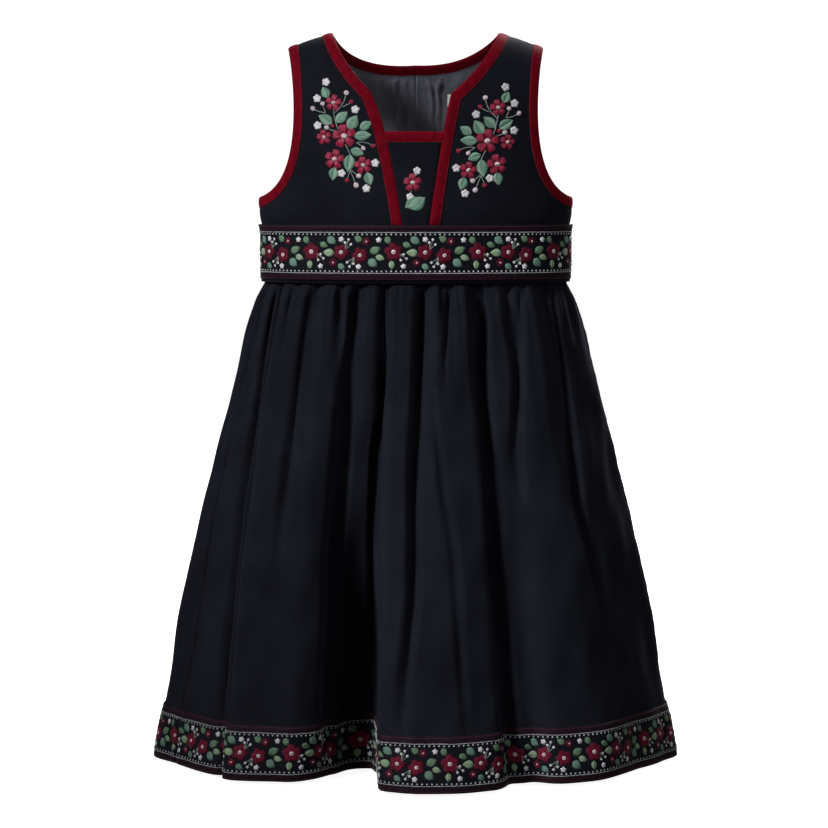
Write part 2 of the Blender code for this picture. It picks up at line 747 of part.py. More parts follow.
# ---------------------------------------------------------------- zip slider and pull
def zip_parent():
    """An empty on the back's outer face: its X is across, its Y down the back and its Z out."""
    spot = drawn_on(np.array([(0.0, SLIDER_PLACE)]), back=True)
    out = way_out(spot)[0]
    parent = bpy.data.objects.new("zip", None)
    parent.location = spot[0] + out * (CLOTH / 2 + SEAM_GAP)
    parent.rotation_euler = (-math.atan2(out[1], out[2]), 0.0, 0.0)
    dress.objects.link(parent)
    return parent


def box(name, parent, corner, size, material=None, at=(0.0, 0.0, 0.0)):
    """A box from its low corner, in the zip's own directions, with its origin at a place."""
    made = bmesh.new()
    bmesh.ops.create_cube(made, size=1.0)
    bmesh.ops.scale(made, vec=size, verts=made.verts)
    middle = Vector(corner) + Vector(size) / 2 - Vector(at)
    bmesh.ops.translate(made, vec=middle, verts=made.verts)
    obj = new_object(name, made, material, dress if material else cutters)
    obj.parent = parent
    obj.location = at
    if material is None:
        obj.hide_render = True
        obj.display_type = "WIRE"
    return obj


def shaped(obj, tool, operation):
    change = obj.modifiers.new(operation.lower(), "BOOLEAN")
    change.operation = operation
    change.object = tool
    return obj


def zip_slider(parent):
    """The slider's body with a bridge on it, which the pull's bar turns in."""
    width, length, wall = SLIDER_SIZE
    body = box("zip_slider", parent, (-width / 2, 0.0, 0.0), SLIDER_SIZE, "zip_metal")
    opening, rise = BRIDGE_OPENING
    near = (length - opening) / 2
    bridge = box(
        "bridge_block",
        parent,
        (-BRIDGE_WIDTH / 2, near - BRIDGE_WALL, wall - SEAM_GAP),
        (BRIDGE_WIDTH, opening + 2 * BRIDGE_WALL, rise + BRIDGE_WALL + SEAM_GAP),
    )
    slot = box("bridge_slot", parent, (-width / 2, near, wall), (width, opening, rise))
    shaped(bridge, slot, "DIFFERENCE")
    return shaped(body, bridge, "UNION")


def zip_pull(parent):
    """A flat tab whose top bar lies in the slider's bridge and turns there."""
    width, length, wall = PULL_SIZE
    hinge = (0.0, SLIDER_SIZE[1] / 2, SLIDER_SIZE[2] + BRIDGE_OPENING[1] / 2)
    top = hinge[1] - PULL_BAR / 2
    low = (-width / 2, top, hinge[2] - wall / 2)
    tab = box("zip_pull", parent, low, PULL_SIZE, "zip_metal", at=hinge)
    across, along = PULL_WINDOW
    window = box(
        "pull_window", parent, (-across / 2, top + PULL_BAR, hinge[2] - wall), (across, along, 2 * wall)
    )
    return shaped(tab, window, "DIFFERENCE")


# ---------------------------------------------------------------- the dress
for old in list(bpy.data.objects):
    bpy.data.objects.remove(old)
dress = bpy.data.collections.new("bunad_dress")
cutters = bpy.data.collections.new("cutters")
for group in (dress, cutters):
    bpy.context.scene.collection.children.link(group)

for hand in WORDS:
    panel(f"bodice_front_{WORDS[hand]}", front_outline(hand), CLOTH, "wool")
    panel(f"bodice_back_{WORDS[hand]}", back_outline(hand), CLOTH, "wool")
    neck_binding(hand)
    armhole_binding(hand)
    lining(hand)
panel("front_insert", insert_outline(), CLOTH, "wool")
insert_bar()
size_label()

band_rise = BINDING_WALL / 2 + SEAM_GAP + BAND_WALL / 2
waist_strips("waistband", BAND_BOTTOM, band_rise, BAND_WALL, "band")
ribbon_rise = band_rise + BAND_WALL / 2 + SEAM_GAP + RIBBON_WALL / 2
waist_strips("waist_ribbon", BAND_TOP - RIBBON_WIDTH, ribbon_rise, RIBBON_WALL, "ribbon")

skirt_strips("skirt", SKIRT_TOP, SKIRT_ROWS, 0.0, CLOTH, "wool", crowding=1.6)
hem_rise = CLOTH / 2 + SEAM_GAP + RIBBON_WALL / 2
skirt_strips("hem_ribbon", HEM + RIBBON_WIDTH, 1, hem_rise, RIBBON_WALL, "ribbon")

zip_place = zip_parent()
zip_slider(zip_place)
zip_pull(zip_place)
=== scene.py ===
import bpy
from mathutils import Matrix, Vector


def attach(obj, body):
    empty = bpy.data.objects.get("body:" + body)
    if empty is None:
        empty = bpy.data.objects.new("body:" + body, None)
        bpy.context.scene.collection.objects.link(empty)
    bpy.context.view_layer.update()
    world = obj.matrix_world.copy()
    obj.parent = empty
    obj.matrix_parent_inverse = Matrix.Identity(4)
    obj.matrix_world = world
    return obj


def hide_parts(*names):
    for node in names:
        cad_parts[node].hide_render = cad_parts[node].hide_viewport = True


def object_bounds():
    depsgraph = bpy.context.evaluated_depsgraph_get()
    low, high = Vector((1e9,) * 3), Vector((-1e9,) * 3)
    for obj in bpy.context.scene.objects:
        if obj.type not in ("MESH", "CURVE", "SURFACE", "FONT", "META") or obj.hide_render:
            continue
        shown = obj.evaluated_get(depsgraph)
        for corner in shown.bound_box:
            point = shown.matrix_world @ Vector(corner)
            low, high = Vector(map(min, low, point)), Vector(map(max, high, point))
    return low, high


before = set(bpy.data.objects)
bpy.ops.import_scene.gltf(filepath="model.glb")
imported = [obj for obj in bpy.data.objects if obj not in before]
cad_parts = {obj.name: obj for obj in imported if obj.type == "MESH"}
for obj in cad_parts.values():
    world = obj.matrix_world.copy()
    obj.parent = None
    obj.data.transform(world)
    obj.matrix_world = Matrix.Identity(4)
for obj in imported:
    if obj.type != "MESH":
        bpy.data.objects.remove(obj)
cad_box = [list(corner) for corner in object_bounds()]

import functools
from math import asin, comb, cos, degrees, pi, radians, sin, sqrt, tau

import bmesh
import bpy
import numpy as np
from mathutils import Vector
from mathutils.geometry import delaunay_2d_cdt

print("solids:", len(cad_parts), "box:", cad_box)

# %% [markdown]
# ## The camera
# A long lens far away keeps a garment's proportions. It stands at the height of the chest and
# looks a little down, so the back of the neck shows over the front and the hem is an arc.
# %% Camera
CAMERA_PLACE = (-0.00152, -2.13, -0.13966)
LOOKS_DOWN = radians(5.147)
LENS, FILM = 103.3, 36


def added(name, data):
    thing = bpy.data.objects.new(name, data)
    bpy.context.scene.collection.objects.link(thing)
    return thing


camera = added("camera", bpy.data.cameras.new("camera"))
camera.data.lens, camera.data.sensor_width = LENS, FILM
camera.location = CAMERA_PLACE
camera.rotation_euler = (pi / 2 - LOOKS_DOWN, 0, 0)
bpy.context.scene.camera = camera
bpy.context.scene.view_settings.view_transform = "Standard"
print("camera:", CAMERA_PLACE)

# %% [markdown]
# ## The figure under the bodice
# A simple rounded figure gives the bodice its shape: each level is an ellipse, and the top rounds
# over to a shoulder line that falls to both sides. A point of the cloth is named by how far it
# has turned from the middle and how far down it lies, as a pattern cutter measures.
# %% Sizes of the figure and the dress
CHEST_HALF, CHEST_DEPTH = 0.1388, 0.07
WAIST_HALF, WAIST_DEPTH = 0.1352, 0.067
WAIST_STARTS, WAIST_REACHED = -0.15, -0.172
SHOULDER_HEIGHT, SHOULDER_FALL, SHOULDER_ROUND = 0.0168, 1.8, 0.085
WAIST_SEAM, HEM = -0.2125, -0.643
SEAM_GAP, WAIST_GAP = 0.00002, 0.0003
SKIRT_TOP = WAIST_SEAM - WAIST_GAP
CLOTH_SCALE = (0.105, 1)  # metres of cloth for (one radian of turn, one metre down)
CLOTH = 0.001  # thickness of the wool here
LINE_STEP = 0.002  # spacing of the points along an edge
WORDS = {-1: "left", 1: "right"}


def smooth(t):
    t = np.clip(t, 0, 1)
    return t * t * (3 - 2 * t)


def unit(v):
    return v / np.maximum(np.linalg.norm(v, axis=-1, keepdims=True), 1e-12)


# %% The figure's shape
def half_sizes(z):
    """(half width, half depth) of the figure at a height."""
    narrowed = smooth((WAIST_STARTS - z) / (WAIST_STARTS - WAIST_REACHED))
    half = CHEST_HALF + (WAIST_HALF - CHEST_HALF) * narrowed
    return half, CHEST_DEPTH + (WAIST_DEPTH - CHEST_DEPTH) * narrowed


def ridge(turn):
    """Height of the shoulder line where the figure has turned this far from its middle."""
    return SHOULDER_HEIGHT - SHOULDER_FALL * (CHEST_HALF * np.sin(turn)) ** 2


def on_figure(turn, down):
    """Points of the figure; down is positive at the front and negative at the back."""
    turn, down = np.broadcast_arrays(np.asarray(turn, float), np.asarray(down, float))
    rounded = np.clip(np.abs(down) / SHOULDER_ROUND, 0, pi / 2)
    straight = np.maximum(np.abs(down) - SHOULDER_ROUND * pi / 2, 0)
    z = ridge(turn) - SHOULDER_ROUND * (1 - np.cos(rounded)) - straight
    half, depth = half_sizes(z)
    y = -np.sign(down) * depth * np.cos(turn) * np.sin(rounded)
    return np.stack([half * np.sin(turn), y, z], axis=-1)


def from_figure(points):
    """(turn, down) of points that lie on the figure."""
    x, y, z = np.moveaxis(points, -1, 0)
    half, depth = half_sizes(z)
    turn = np.arcsin(np.clip(x / half, -1, 1))
    fallen = (ridge(turn) - z) / SHOULDER_ROUND
    turn = np.where(fallen >= 1, np.arctan2(x / half, np.abs(y) / depth), turn)
    rounded = np.arctan2(np.abs(y) / (depth * np.cos(turn)), 1 - fallen)
    straight = ridge(turn) - SHOULDER_ROUND - z + SHOULDER_ROUND * pi / 2
    down = np.where(fallen >= 1, straight, SHOULDER_ROUND * np.clip(rounded, 0, pi / 2))
    return turn, np.where(y > 0, -down, down)


def drawn_on(flat, back=False):
    """Points given by x and z, as seen from the front, put onto the front or back."""
    x, z = flat[:, 0], flat[:, 1]
    turn = np.arcsin(np.clip(x / half_sizes(z)[0], -1, 1))
    fallen = np.maximum((ridge(turn) - z) / SHOULDER_ROUND, 0)
    rounded = np.arccos(np.clip(1 - fallen, 0, 1)) * SHOULDER_ROUND
    down = rounded + np.maximum(fallen - 1, 0) * SHOULDER_ROUND
    return on_figure(turn, -down if back else down)


def on_back(x, z):
    """(points, ways out) of places on the back."""
    points = drawn_on(np.c_[x, z], back=True)
    return points, way_out(points)


def laid_flat(turned):
    """Metres of flat cloth for rows of (turn, down)."""
    return np.asarray(turned, float) * np.array(CLOTH_SCALE)


# %% Directions on the figure
def off_figure(points):
    """Zero on the figure's skin, above zero outside it."""
    x, y, z = np.moveaxis(points, -1, 0)
    half, depth = half_sizes(z)
    turn = np.arcsin(np.clip(x / half, -1, 1))
    above = np.clip(1 - (ridge(turn) - z) / SHOULDER_ROUND, 0, None)
    return (x / half) ** 2 + (y / depth) ** 2 + above**2 * (1 - (x / half) ** 2) - 1


def slope_of(points, small=1e-6):
    steps = [small * axis for axis in np.eye(3)]
    slopes = [(off_figure(points + s) - off_figure(points - s)) / (2 * small) for s in steps]
    return np.stack(slopes, axis=-1)


def way_out(points):
    return unit(slope_of(points))


def settled(points):
    for _ in range(3):
        steep = slope_of(points)
        miss = off_figure(points) / np.maximum((steep**2).sum(-1), 1e-9)
        points = points - steep * miss[..., None]
    return points


# %% Lines on the figure
def walked(path, distance, closed=False, steps=4):
    """A path moved sideways over the figure by a distance, to the left of its direction."""
    for _ in range(steps):
        if closed:
            along = np.roll(path, -1, axis=0) - np.roll(path, 1, axis=0)
        else:
            along = np.gradient(path, axis=0)
        sideways = unit(np.cross(way_out(path), unit(along)))
        path = settled(path + sideways * distance / steps)
    return path


def run_along(points):
    return np.concatenate([[0], np.cumsum(np.linalg.norm(np.diff(points, axis=0), axis=1))])


def read_at(where, run, points):
    return np.stack([np.interp(where, run, values) for values in points.T], axis=-1)


def respaced(path):
    reached = run_along(path)
    count = max(2, round(reached[-1] / LINE_STEP))
    return read_at(np.linspace(0, reached[-1], count + 1), reached, path)


def bend(ends, pulls, count=64):
    spots = [np.array(p, float) for p in (ends[0], *pulls, ends[1])]
    degree = len(spots) - 1
    t = np.linspace(0, 1, count)[:, None]
    shares = [comb(degree, k) * t**k * (1 - t) ** (degree - k) for k in range(degree + 1)]
    return sum(share * spot for share, spot in zip(shares, spots))


# %% [markdown]
# ## The edges of the bodice
# The neck opening runs up each front in two curves that meet at a corner, over the shoulder
# and down to the centre back; the two sides differ a little. The armhole is one closed curve.
# Every other line is one of these moved sideways, so bindings, stitches and panels agree.
# %% Neck and armhole edges
NECK_ROWS = {  # back pull, upper pull, corner and lower pull of each side
    -1: ((0.058, -0.0215), (0.0628, -0.023), (0.0395, -0.0455), (0.024, -0.074)),
    +1: ((0.047, -0.0195), (0.056, -0.028), (0.0305, -0.048), (0.0235, -0.076)),
}
NECK_BOTTOM, NECK_FOOT = (0.0112, -0.162), (0.006, WAIST_SEAM)
NECK_TOP, BACK_NECK_LOW = 0.0735, (0, -0.0175)
ARMHOLE_TOP, ARMHOLE_LOW = 0.113, (CHEST_HALF, -0.137)
ARMHOLE_PULLS = ((0.107, -0.025), (0.094, -0.125))


def on_shoulder(x):
    return x, float(ridge(asin(x / CHEST_HALF)))


def edge_of(outline, side, back=False):
    """One side's line on the figure from an outline that is drawn for the right side."""
    return settled(respaced(drawn_on(outline * np.array([side, 1]), back)))


def neck_edge(side):
    """The opening's edge on one side, and how many of its points lie on the front."""
    back_pull, upper_pull, corner, lower_pull = NECK_ROWS[side]
    lower = bend((NECK_BOTTOM, corner), [lower_pull])
    upper = bend((corner, on_shoulder(NECK_TOP)), [upper_pull])
    front = edge_of(np.vstack([[NECK_FOOT], lower, upper[1:]]), side)
    back = edge_of(bend((on_shoulder(NECK_TOP), BACK_NECK_LOW), [back_pull]), side, back=True)
    front[-1] = back[0]
    return np.vstack([front, back[1:]]), len(front)


@functools.cache
def neck_line(side, distance):
    """The neck edge moved into the cloth by a distance, and where its shoulder point is."""
    edge, shoulder = neck_edge(side)
    path = walked(edge, -side * distance)
    path[:, 2] = np.maximum(path[:, 2], WAIST_SEAM)
    path[:, 0] = side * np.maximum(side * path[:, 0], 0)
    path[0, 2] = WAIST_SEAM
    path[-1, 0] = 0
    return path, shoulder - 1


@functools.cache
def armhole_line(side, distance):
    """The armhole's closed edge moved into the cloth, and where its lowest point is."""
    front = edge_of(bend((on_shoulder(ARMHOLE_TOP), ARMHOLE_LOW), ARMHOLE_PULLS, 100), side)
    back = front[::-1] * np.array([1, -1, 1])
    return walked(np.vstack([front, back[1:-1]]), -side * distance, closed=True), len(front) - 1


for hand, word in WORDS.items():
    print(word, "neck edge in metres:", round(run_along(neck_edge(hand)[0])[-1], 3))

# %% [markdown]
# ## Cloth as thin sheets
# An open sheet of faces is laid where the cloth runs, a copy turned over gives the inside, and
# narrow faces close the rim, so the cloth has a real thickness. The UV map is in metres of
# cloth, so a weave keeps its scale however the cloth is bent.
# %% Making a sheet
def new_piece(name, points, faces, material, flat, flat_faces=()):
    mesh = bpy.data.meshes.new(name)
    mesh.from_pydata([tuple(p) for p in points], [], [tuple(f) for f in faces])
    loops = np.empty(len(mesh.loops), dtype=np.int32)
    mesh.loops.foreach_get("vertex_index", loops)
    layer = mesh.uv_layers.new(name="cloth")
    layer.data.foreach_set("uv", np.asarray(flat, float)[loops].ravel())
    rounded = np.ones(len(mesh.polygons), dtype=bool)
    rounded[list(flat_faces)] = False
    mesh.polygons.foreach_set("use_smooth", rounded)
    mesh.materials.append(material)
    mesh.update()
    return added(name, mesh)


def sheet_piece(name, middle, outs, faces, wall, flat, material):
    """A closed thin wall on both sides of an open sheet, whose faces look outwards."""
    faces = [tuple(int(k) for k in face) for face in faces]
    one = faces[len(faces) // 2]
    corner, second, third = middle[list(one[:3])]
    if np.cross(second - corner, third - corner) @ outs[one[0]] < 0:
        faces = [face[::-1] for face in faces]
    count = len(middle)
    rim = set()
    for face in faces:
        for a, b in zip(face, face[1:] + face[:1]):
            if (b, a) in rim:
                rim.remove((b, a))
            else:
                rim.add((a, b))
    inner = [tuple(k + count for k in face[::-1]) for face in faces]
    edge = [(b, a, a + count, b + count) for a, b in sorted(rim)]
    points = np.vstack([middle + outs * wall / 2, middle - outs * wall / 2])
    rim_faces = range(2 * len(faces), 2 * len(faces) + len(edge))
    return new_piece(name, points, faces + inner + edge, material, np.vstack([flat, flat]), rim_faces)


def tell_faces(pieces):
    for piece in pieces.values():
        print(piece.name, len(piece.data.polygons), "faces")


def grid_faces(columns, rows):
    """Quads of a grid whose points run row by row, columns + 1 points to a row."""
    k = (np.arange(columns)[None, :] + (columns + 1) * np.arange(rows)[:, None]).ravel()
    return np.c_[k, k + 1, k + columns + 2, k + columns + 1]


def grid_shares(columns, rows):
    across, below = np.meshgrid(np.linspace(0, 1, columns + 1), np.linspace(0, 1, rows + 1))
    return across.ravel(), below.ravel()


# %% Making a cut panel
def to_outline(outline, spots):
    """(inside or not, distance) of flat spots against a closed outline."""
    starts, ends = outline, np.roll(outline, -1, axis=0)
    run = ends - starts
    safe = np.where(run[:, 1] == 0, 1, run[:, 1])
    within, nearest = [], []
    for spot in spots:
        over = (starts[:, 1] > spot[1]) != (ends[:, 1] > spot[1])
        crossing = starts[:, 0] + (spot[1] - starts[:, 1]) * run[:, 0] / safe
        within.append(np.count_nonzero(over & (crossing > spot[0])) % 2 == 1)
        share = ((spot - starts) * run).sum(1) / np.maximum((run**2).sum(1), 1e-14)
        gap = spot - starts - np.clip(share, 0, 1)[:, None] * run
        nearest.append(np.sqrt((gap**2).sum(1).min()))
    return np.array(within), np.array(nearest)


def cut_panel(outline, cell):
    """Flat points and triangles, in metres, that fill an outline of (turn, down)."""
    rim = laid_flat(outline)
    rim = rim[np.linalg.norm(rim - np.roll(rim, 1, axis=0), axis=1) > 2e-5]
    low, high = rim.min(0), rim.max(0)
    across = np.arange(low[0] + cell / 2, high[0], cell)
    below = np.arange(low[1] + cell / 2, high[1], cell * sqrt(0.75))
    grid = np.array([(u + cell / 2 * (k % 2), v) for k, v in enumerate(below) for u in across])
    within, gap = to_outline(rim, grid)
    edges = [(k, (k + 1) % len(rim)) for k in range(len(rim))]
    spots = [Vector(p) for p in np.vstack([rim, grid[within & (gap > cell * 0.5)]])]
    found, _, faces, *_ = delaunay_2d_cdt(spots, edges, [], 1, 1e-7)
    flat = np.array([tuple(spot) for spot in found])
    return flat, faces, to_outline(rim, flat)[1]


print("ready:", sheet_piece.__name__, cut_panel.__name__)

# %% [markdown]
# ## Finishes
# The weave comes from the UV map, which is in metres; uneven dye and lint come from noise on
# Object coordinates, which run on across the seams. The weave is a bump and not a colour,
# because a dark cloth shows it by the way it catches the light.
# %% Helpers for shader nodes
def node(tree, kind, links=(), **settings):
    made = tree.nodes.new(kind)
    for name, value in settings.items():
        setattr(made, name, value)
    for socket, value in dict(links).items():
        if isinstance(value, bpy.types.NodeSocket):
            tree.links.new(value, made.inputs[socket])
        else:
            made.inputs[socket].default_value = value
    return made


def math_node(tree, operation, *values):
    return node(tree, "ShaderNodeMath", enumerate(values), operation=operation).outputs[0]


def times(tree, value, factor):
    return math_node(tree, "MULTIPLY", value, factor)


def cloth_map(tree):
    place = node(tree, "ShaderNodeUVMap", uv_map="cloth").outputs["UV"]
    return node(tree, "ShaderNodeSeparateXYZ", {0: place}).outputs[:2]


def noise(tree, scale, detail=3, stretch=(1, 1, 1)):
    place = node(tree, "ShaderNodeTexCoord").outputs["Object"]
    turned = node(tree, "ShaderNodeMapping", {0: place, "Scale": stretch}).outputs[0]
    given = {"Vector": turned, "Scale": scale, "Detail": detail}
    return node(tree, "ShaderNodeTexNoise", given).outputs["Fac"]


def mixed(tree, share, low, high, blend="MIX"):
    """A colour from two others, by a share; each is a socket or a plain colour."""
    ends = [end if isinstance(end, bpy.types.NodeSocket) else (*end, 1) for end in (low, high)]
    given = {"Factor": share, "A": ends[0], "B": ends[1]}
    return node(tree, "ShaderNodeMix", given, data_type="RGBA", blend_type=blend).outputs["Result"]


def mapped(tree, value, low, high, start=0.3, end=0.7):
    """A value that runs from low to high while the noise runs from start to end."""
    given = {"Value": value, "From Min": start, "From Max": end, "To Min": low, "To Max": high}
    return node(tree, "ShaderNodeMapRange", given).outputs[0]


def woven(tree, along_step, down_step, twill=0):
    """Height of a weave from 0 to 1: threads one way over threads the other way."""
    along, down = cloth_map(tree)
    shifted = math_node(tree, "MULTIPLY_ADD", down, twill, along)
    warp = math_node(tree, "SINE", times(tree, shifted, tau / along_step))
    weft = math_node(tree, "SINE", times(tree, down, tau / down_step))
    return math_node(tree, "MULTIPLY_ADD", times(tree, warp, weft), 0.5, 0.5)


def new_finish(name, colour, roughness, gloss, **fixed):
    """A material and its tree; values that are the same all over go onto its sockets."""
    finish = bpy.data.materials.new(name)
    finish.use_nodes = True
    shader = finish.node_tree.nodes["Principled BSDF"]
    shader.inputs["Base Color"].default_value = (*colour, 1)
    fixed = {"Roughness": roughness, "Specular_IOR_Level": gloss, **fixed}
    for socket, value in fixed.items():
        shader.inputs[socket.replace("_", " ")].default_value = value
    return finish, finish.node_tree


def feed(tree, socket, value):
    """Links a value that changes over the cloth to the shader."""
    tree.links.new(value, tree.nodes["Principled BSDF"].inputs[socket])


def bumped(tree, height, depth, strength):
    given = {"Height": height, "Distance": depth, "Strength": strength}
    feed(tree, "Normal", node(tree, "ShaderNodeBump", given).outputs[0])


def coloured_by(tree, cloudy, low, high):
    colour = mixed(tree, mapped(tree, cloudy, 0, 1), low, high)
    feed(tree, "Base Color", colour)
    return colour


# %% Wool
def wool_finish():
    """Fulled wool twill, nearly black with a blue cast, with a soft nap."""
    finish, tree = new_finish(
        "wool", (0.0065, 0.007, 0.011), 0.82, 0.05,
        Sheen_Weight=0.08, Sheen_Roughness=0.45, Sheen_Tint=(0.42, 0.47, 0.66, 1),
    )
    coloured_by(tree, noise(tree, 26, 4), (0.0056, 0.0062, 0.0098), (0.0086, 0.0095, 0.015))
    lint = times(tree, noise(tree, 1400, 2), 0.7)
    twill = woven(tree, 0.00075, 0.00075, 1)
    bumped(tree, math_node(tree, "MULTIPLY_ADD", twill, 0.6, lint), 0.00018, 0.55)
    feed(tree, "Roughness", mapped(tree, noise(tree, 60), 0.76, 0.9))
    return finish


WOOL = wool_finish()
print("finish:", WOOL.name)


# %% Velvet
def velvet_finish():
    """Crimson velvet: a deep pile, with a painted sheen that mixes its colour lighter where the surface
    turns away from the eye.
    """
    finish, tree = new_finish(
        "velvet", (0.19, 0.004, 0.012), 0.7, 0.02,
        Sheen_Weight=0.18, Sheen_Roughness=0.35, Sheen_Tint=(1, 0.1, 0.16, 1),
    )
    brushed = noise(tree, 210, 4, (1, 1, 0.55))
    pressed = coloured_by(tree, brushed, (0.098, 0.0012, 0.0058), (0.16, 0.0025, 0.0102))
    # Painted sheen: a lighter crimson is mixed into the colour towards grazing angles.
    painted_sheen_facing = node(tree, "ShaderNodeLayerWeight", {"Blend": 0.28}).outputs["Facing"]
    feed(tree, "Base Color", mixed(tree, times(tree, painted_sheen_facing, 0.55), pressed, (0.25, 0.0055, 0.019)))
    pile = times(tree, noise(tree, 2600, 2), 0.6)
    bumped(tree, math_node(tree, "MULTIPLY_ADD", brushed, 0.8, pile), 0.00022, 0.6)
    return finish


VELVET = velvet_finish()
print("finish:", VELVET.name)


# %% Satin for the lining and the label
def satin_finish(name, dark, light, roughness):
    """Warp satin: long threads run down the cloth, so its gloss is streaked that way."""
    finish, tree = new_finish(name, dark, roughness, 0.4, Sheen_Weight=0.1, Sheen_Roughness=0.3)
    along, down = cloth_map(tree)
    streak = {0: times(tree, along, 3200), 1: times(tree, down, 90)}
    place = node(tree, "ShaderNodeCombineXYZ", streak).outputs[0]
    threads = node(tree, "ShaderNodeTexNoise", {"Vector": place, "Scale": 1}).outputs["Fac"]
    coloured_by(tree, threads, dark, light)
    bumped(tree, threads, 0.00006, 0.5)
    gloss = mapped(tree, noise(tree, 45), roughness - 0.05, roughness + 0.08)
    feed(tree, "Roughness", gloss)
    return finish


SATIN = satin_finish("satin", (0.08, 0.083, 0.108), (0.15, 0.155, 0.195), 0.34)
LABEL = satin_finish("label", (0.7, 0.7, 0.68), (0.84, 0.84, 0.82), 0.45)
print("finishes:", SATIN.name, LABEL.name)

# %% [markdown]
# The ribbon is woven in bands, plum at both edges of a blue-black ground: they are stops of a
# ramp over its width, and the ribs of its weft are a bump. Its flowers are raised shapes.
# %% The ribbon's ground
RIBBON_WIDTH = 0.0483
PLUM_STOPS = (  # metres from the edge, colour
    (0, (0.0072, 0.0043, 0.0079)), (0.0006, (0.0137, 0.005, 0.0108)),
    (0.002, (0.0216, 0.005, 0.0122)), (0.0036, (0.0108, 0.005, 0.0101)),
    (0.0052, (0.018, 0.0047, 0.0108)), (0.0064, (0.004, 0.0054, 0.0104)),
)


def ribbon_finish():
    finish, tree = new_finish(
        "ribbon_ground", (0.006, 0.008, 0.015), 0.62, 0.08, Sheen_Weight=0.06, Sheen_Roughness=0.4
    )
    ramp = node(tree, "ShaderNodeValToRGB", {0: times(tree, cloth_map(tree)[1], 1 / RIBBON_WIDTH)})
    stops = ramp.color_ramp.elements
    for k, (place, colour) in enumerate(PLUM_STOPS):
        stop = stops[k] if k < 2 else stops.new(place / RIBBON_WIDTH)
        stop.position = place / RIBBON_WIDTH
        stop.color = (*colour, 1)
    for place, colour in PLUM_STOPS:
        stops.new(1 - place / RIBBON_WIDTH).color = (*colour, 1)
    cloudy = noise(tree, 320)
    feed(tree, "Base Color", mixed(tree, 0.45, ramp.outputs["Color"], cloudy, "MULTIPLY"))
    bumped(tree, woven(tree, 0.0011, 0.0005), 0.00012, 0.6)
    return finish


RIBBON = ribbon_finish()
print("finish:", RIBBON.name, "over", RIBBON_WIDTH, "metres")


# %% Threads, whose colour comes from the piece
def thread_finish(name, roughness, sheen, gloss, rib=None):
    """Thread of any colour: each piece carries its own in the attribute called colour."""
    finish, tree = new_finish(
        name, (0.5, 0.5, 0.5), roughness, gloss, Sheen_Weight=sheen, Sheen_Roughness=0.35
    )
    own = node(tree, "ShaderNodeAttribute", attribute_name="colour").outputs["Color"]
    uneven = mapped(tree, noise(tree, 900), 0.55, 1.25, 0.25, 0.75)
    feed(tree, "Base Color", mixed(tree, 0.5, own, uneven, "MULTIPLY"))
    if rib:
        bumped(tree, math_node(tree, "SINE", times(tree, cloth_map(tree)[1], tau / rib)), 0.0001, 0.5)
    else:
        bumped(tree, noise(tree, 3500, 2), 0.0001, 0.4)
    return finish


SILK = thread_finish("embroidery_silk", 0.42, 0.15, 0.25)
FLOAT = thread_finish("woven_float", 0.6, 0.06, 0.12, 0.0005)
SEWING = thread_finish("sewing_thread", 0.6, 0.1, 0.12)
print("finishes:", SILK.name, FLOAT.name, SEWING.name)


# %% The zip's metal
def metal_finish():
    finish, tree = new_finish("zip_metal", (0.1, 0.1, 0.12), 0.34, 0.5, Metallic=1)
    worn = noise(tree, 700, 4)
    coloured_by(tree, worn, (0.055, 0.056, 0.068), (0.22, 0.22, 0.25))
    feed(tree, "Roughness", mapped(tree, worn, 0.26, 0.44))
    bumped(tree, noise(tree, 2500, 2), 0.00004, 0.4)
    return finish


METAL = metal_finish()
print("finish:", METAL.name)

# %% [markdown]
# ## The bodice
# Two fronts, two backs and a small insert are cut flat and laid round the figure: each outline
# is followed in cutter's measures and filled with even triangles. The raw edges run on under
# the velvet bindings, so no gap shows beside a binding.
# %% Outlines of the bodice's pieces
BINDING_WIDTH = 0.0095
UNDER_BINDING = BINDING_WIDTH - 0.003  # the cloth's raw edge inside the fold
UNDER_LINING = BINDING_WIDTH - 0.0015
UNDER_INSERT = 0.0008
BAND_TOP, BAND_BOTTOM = -0.1612, -0.212
BAR_TOP, BAR_HEIGHT = -0.0808, 0.0098
CELL, LINING_CELL = 0.0034, 0.0015


def level_row(turns, height, back=False):
    down = ridge(turns) - SHOULDER_ROUND - height + SHOULDER_ROUND * pi / 2
    return np.c_[turns, -down if back else down]


def side_turn(side):
    return side * (pi / 2 - SEAM_GAP / 2 / CHEST_DEPTH)


def as_turns(path):
    """A path on the figure as (turn, down), kept off the side seam."""
    turn, down = from_figure(path)
    return np.c_[np.clip(turn, -side_turn(1), side_turn(1)), down]


def seam_points(first, last):
    """The points between two ends, without the ends, near LINE_STEP apart on flat cloth."""
    count = max(2, round(np.linalg.norm(laid_flat(last - first)) / LINE_STEP))
    return first + (last - first) * np.linspace(0, 1, count + 1)[1:-1, None]


def front_outline(side, under=UNDER_BINDING):
    neck, shoulder = neck_line(side, under)
    arm, arm_low = armhole_line(side, under)
    inner, outer = as_turns(neck[: shoulder + 1]), as_turns(arm[: arm_low + 1])
    inner[-1, 1] = outer[0, 1] = SEAM_GAP / 2
    outer[-1, 0] = side_turn(side)
    low = level_row(np.linspace(side_turn(side), inner[0, 0], 60), WAIST_SEAM)
    top, seam = seam_points(inner[-1], outer[0]), seam_points(outer[-1], low[0])
    return np.vstack([inner, top, outer, seam, low[:-1]])


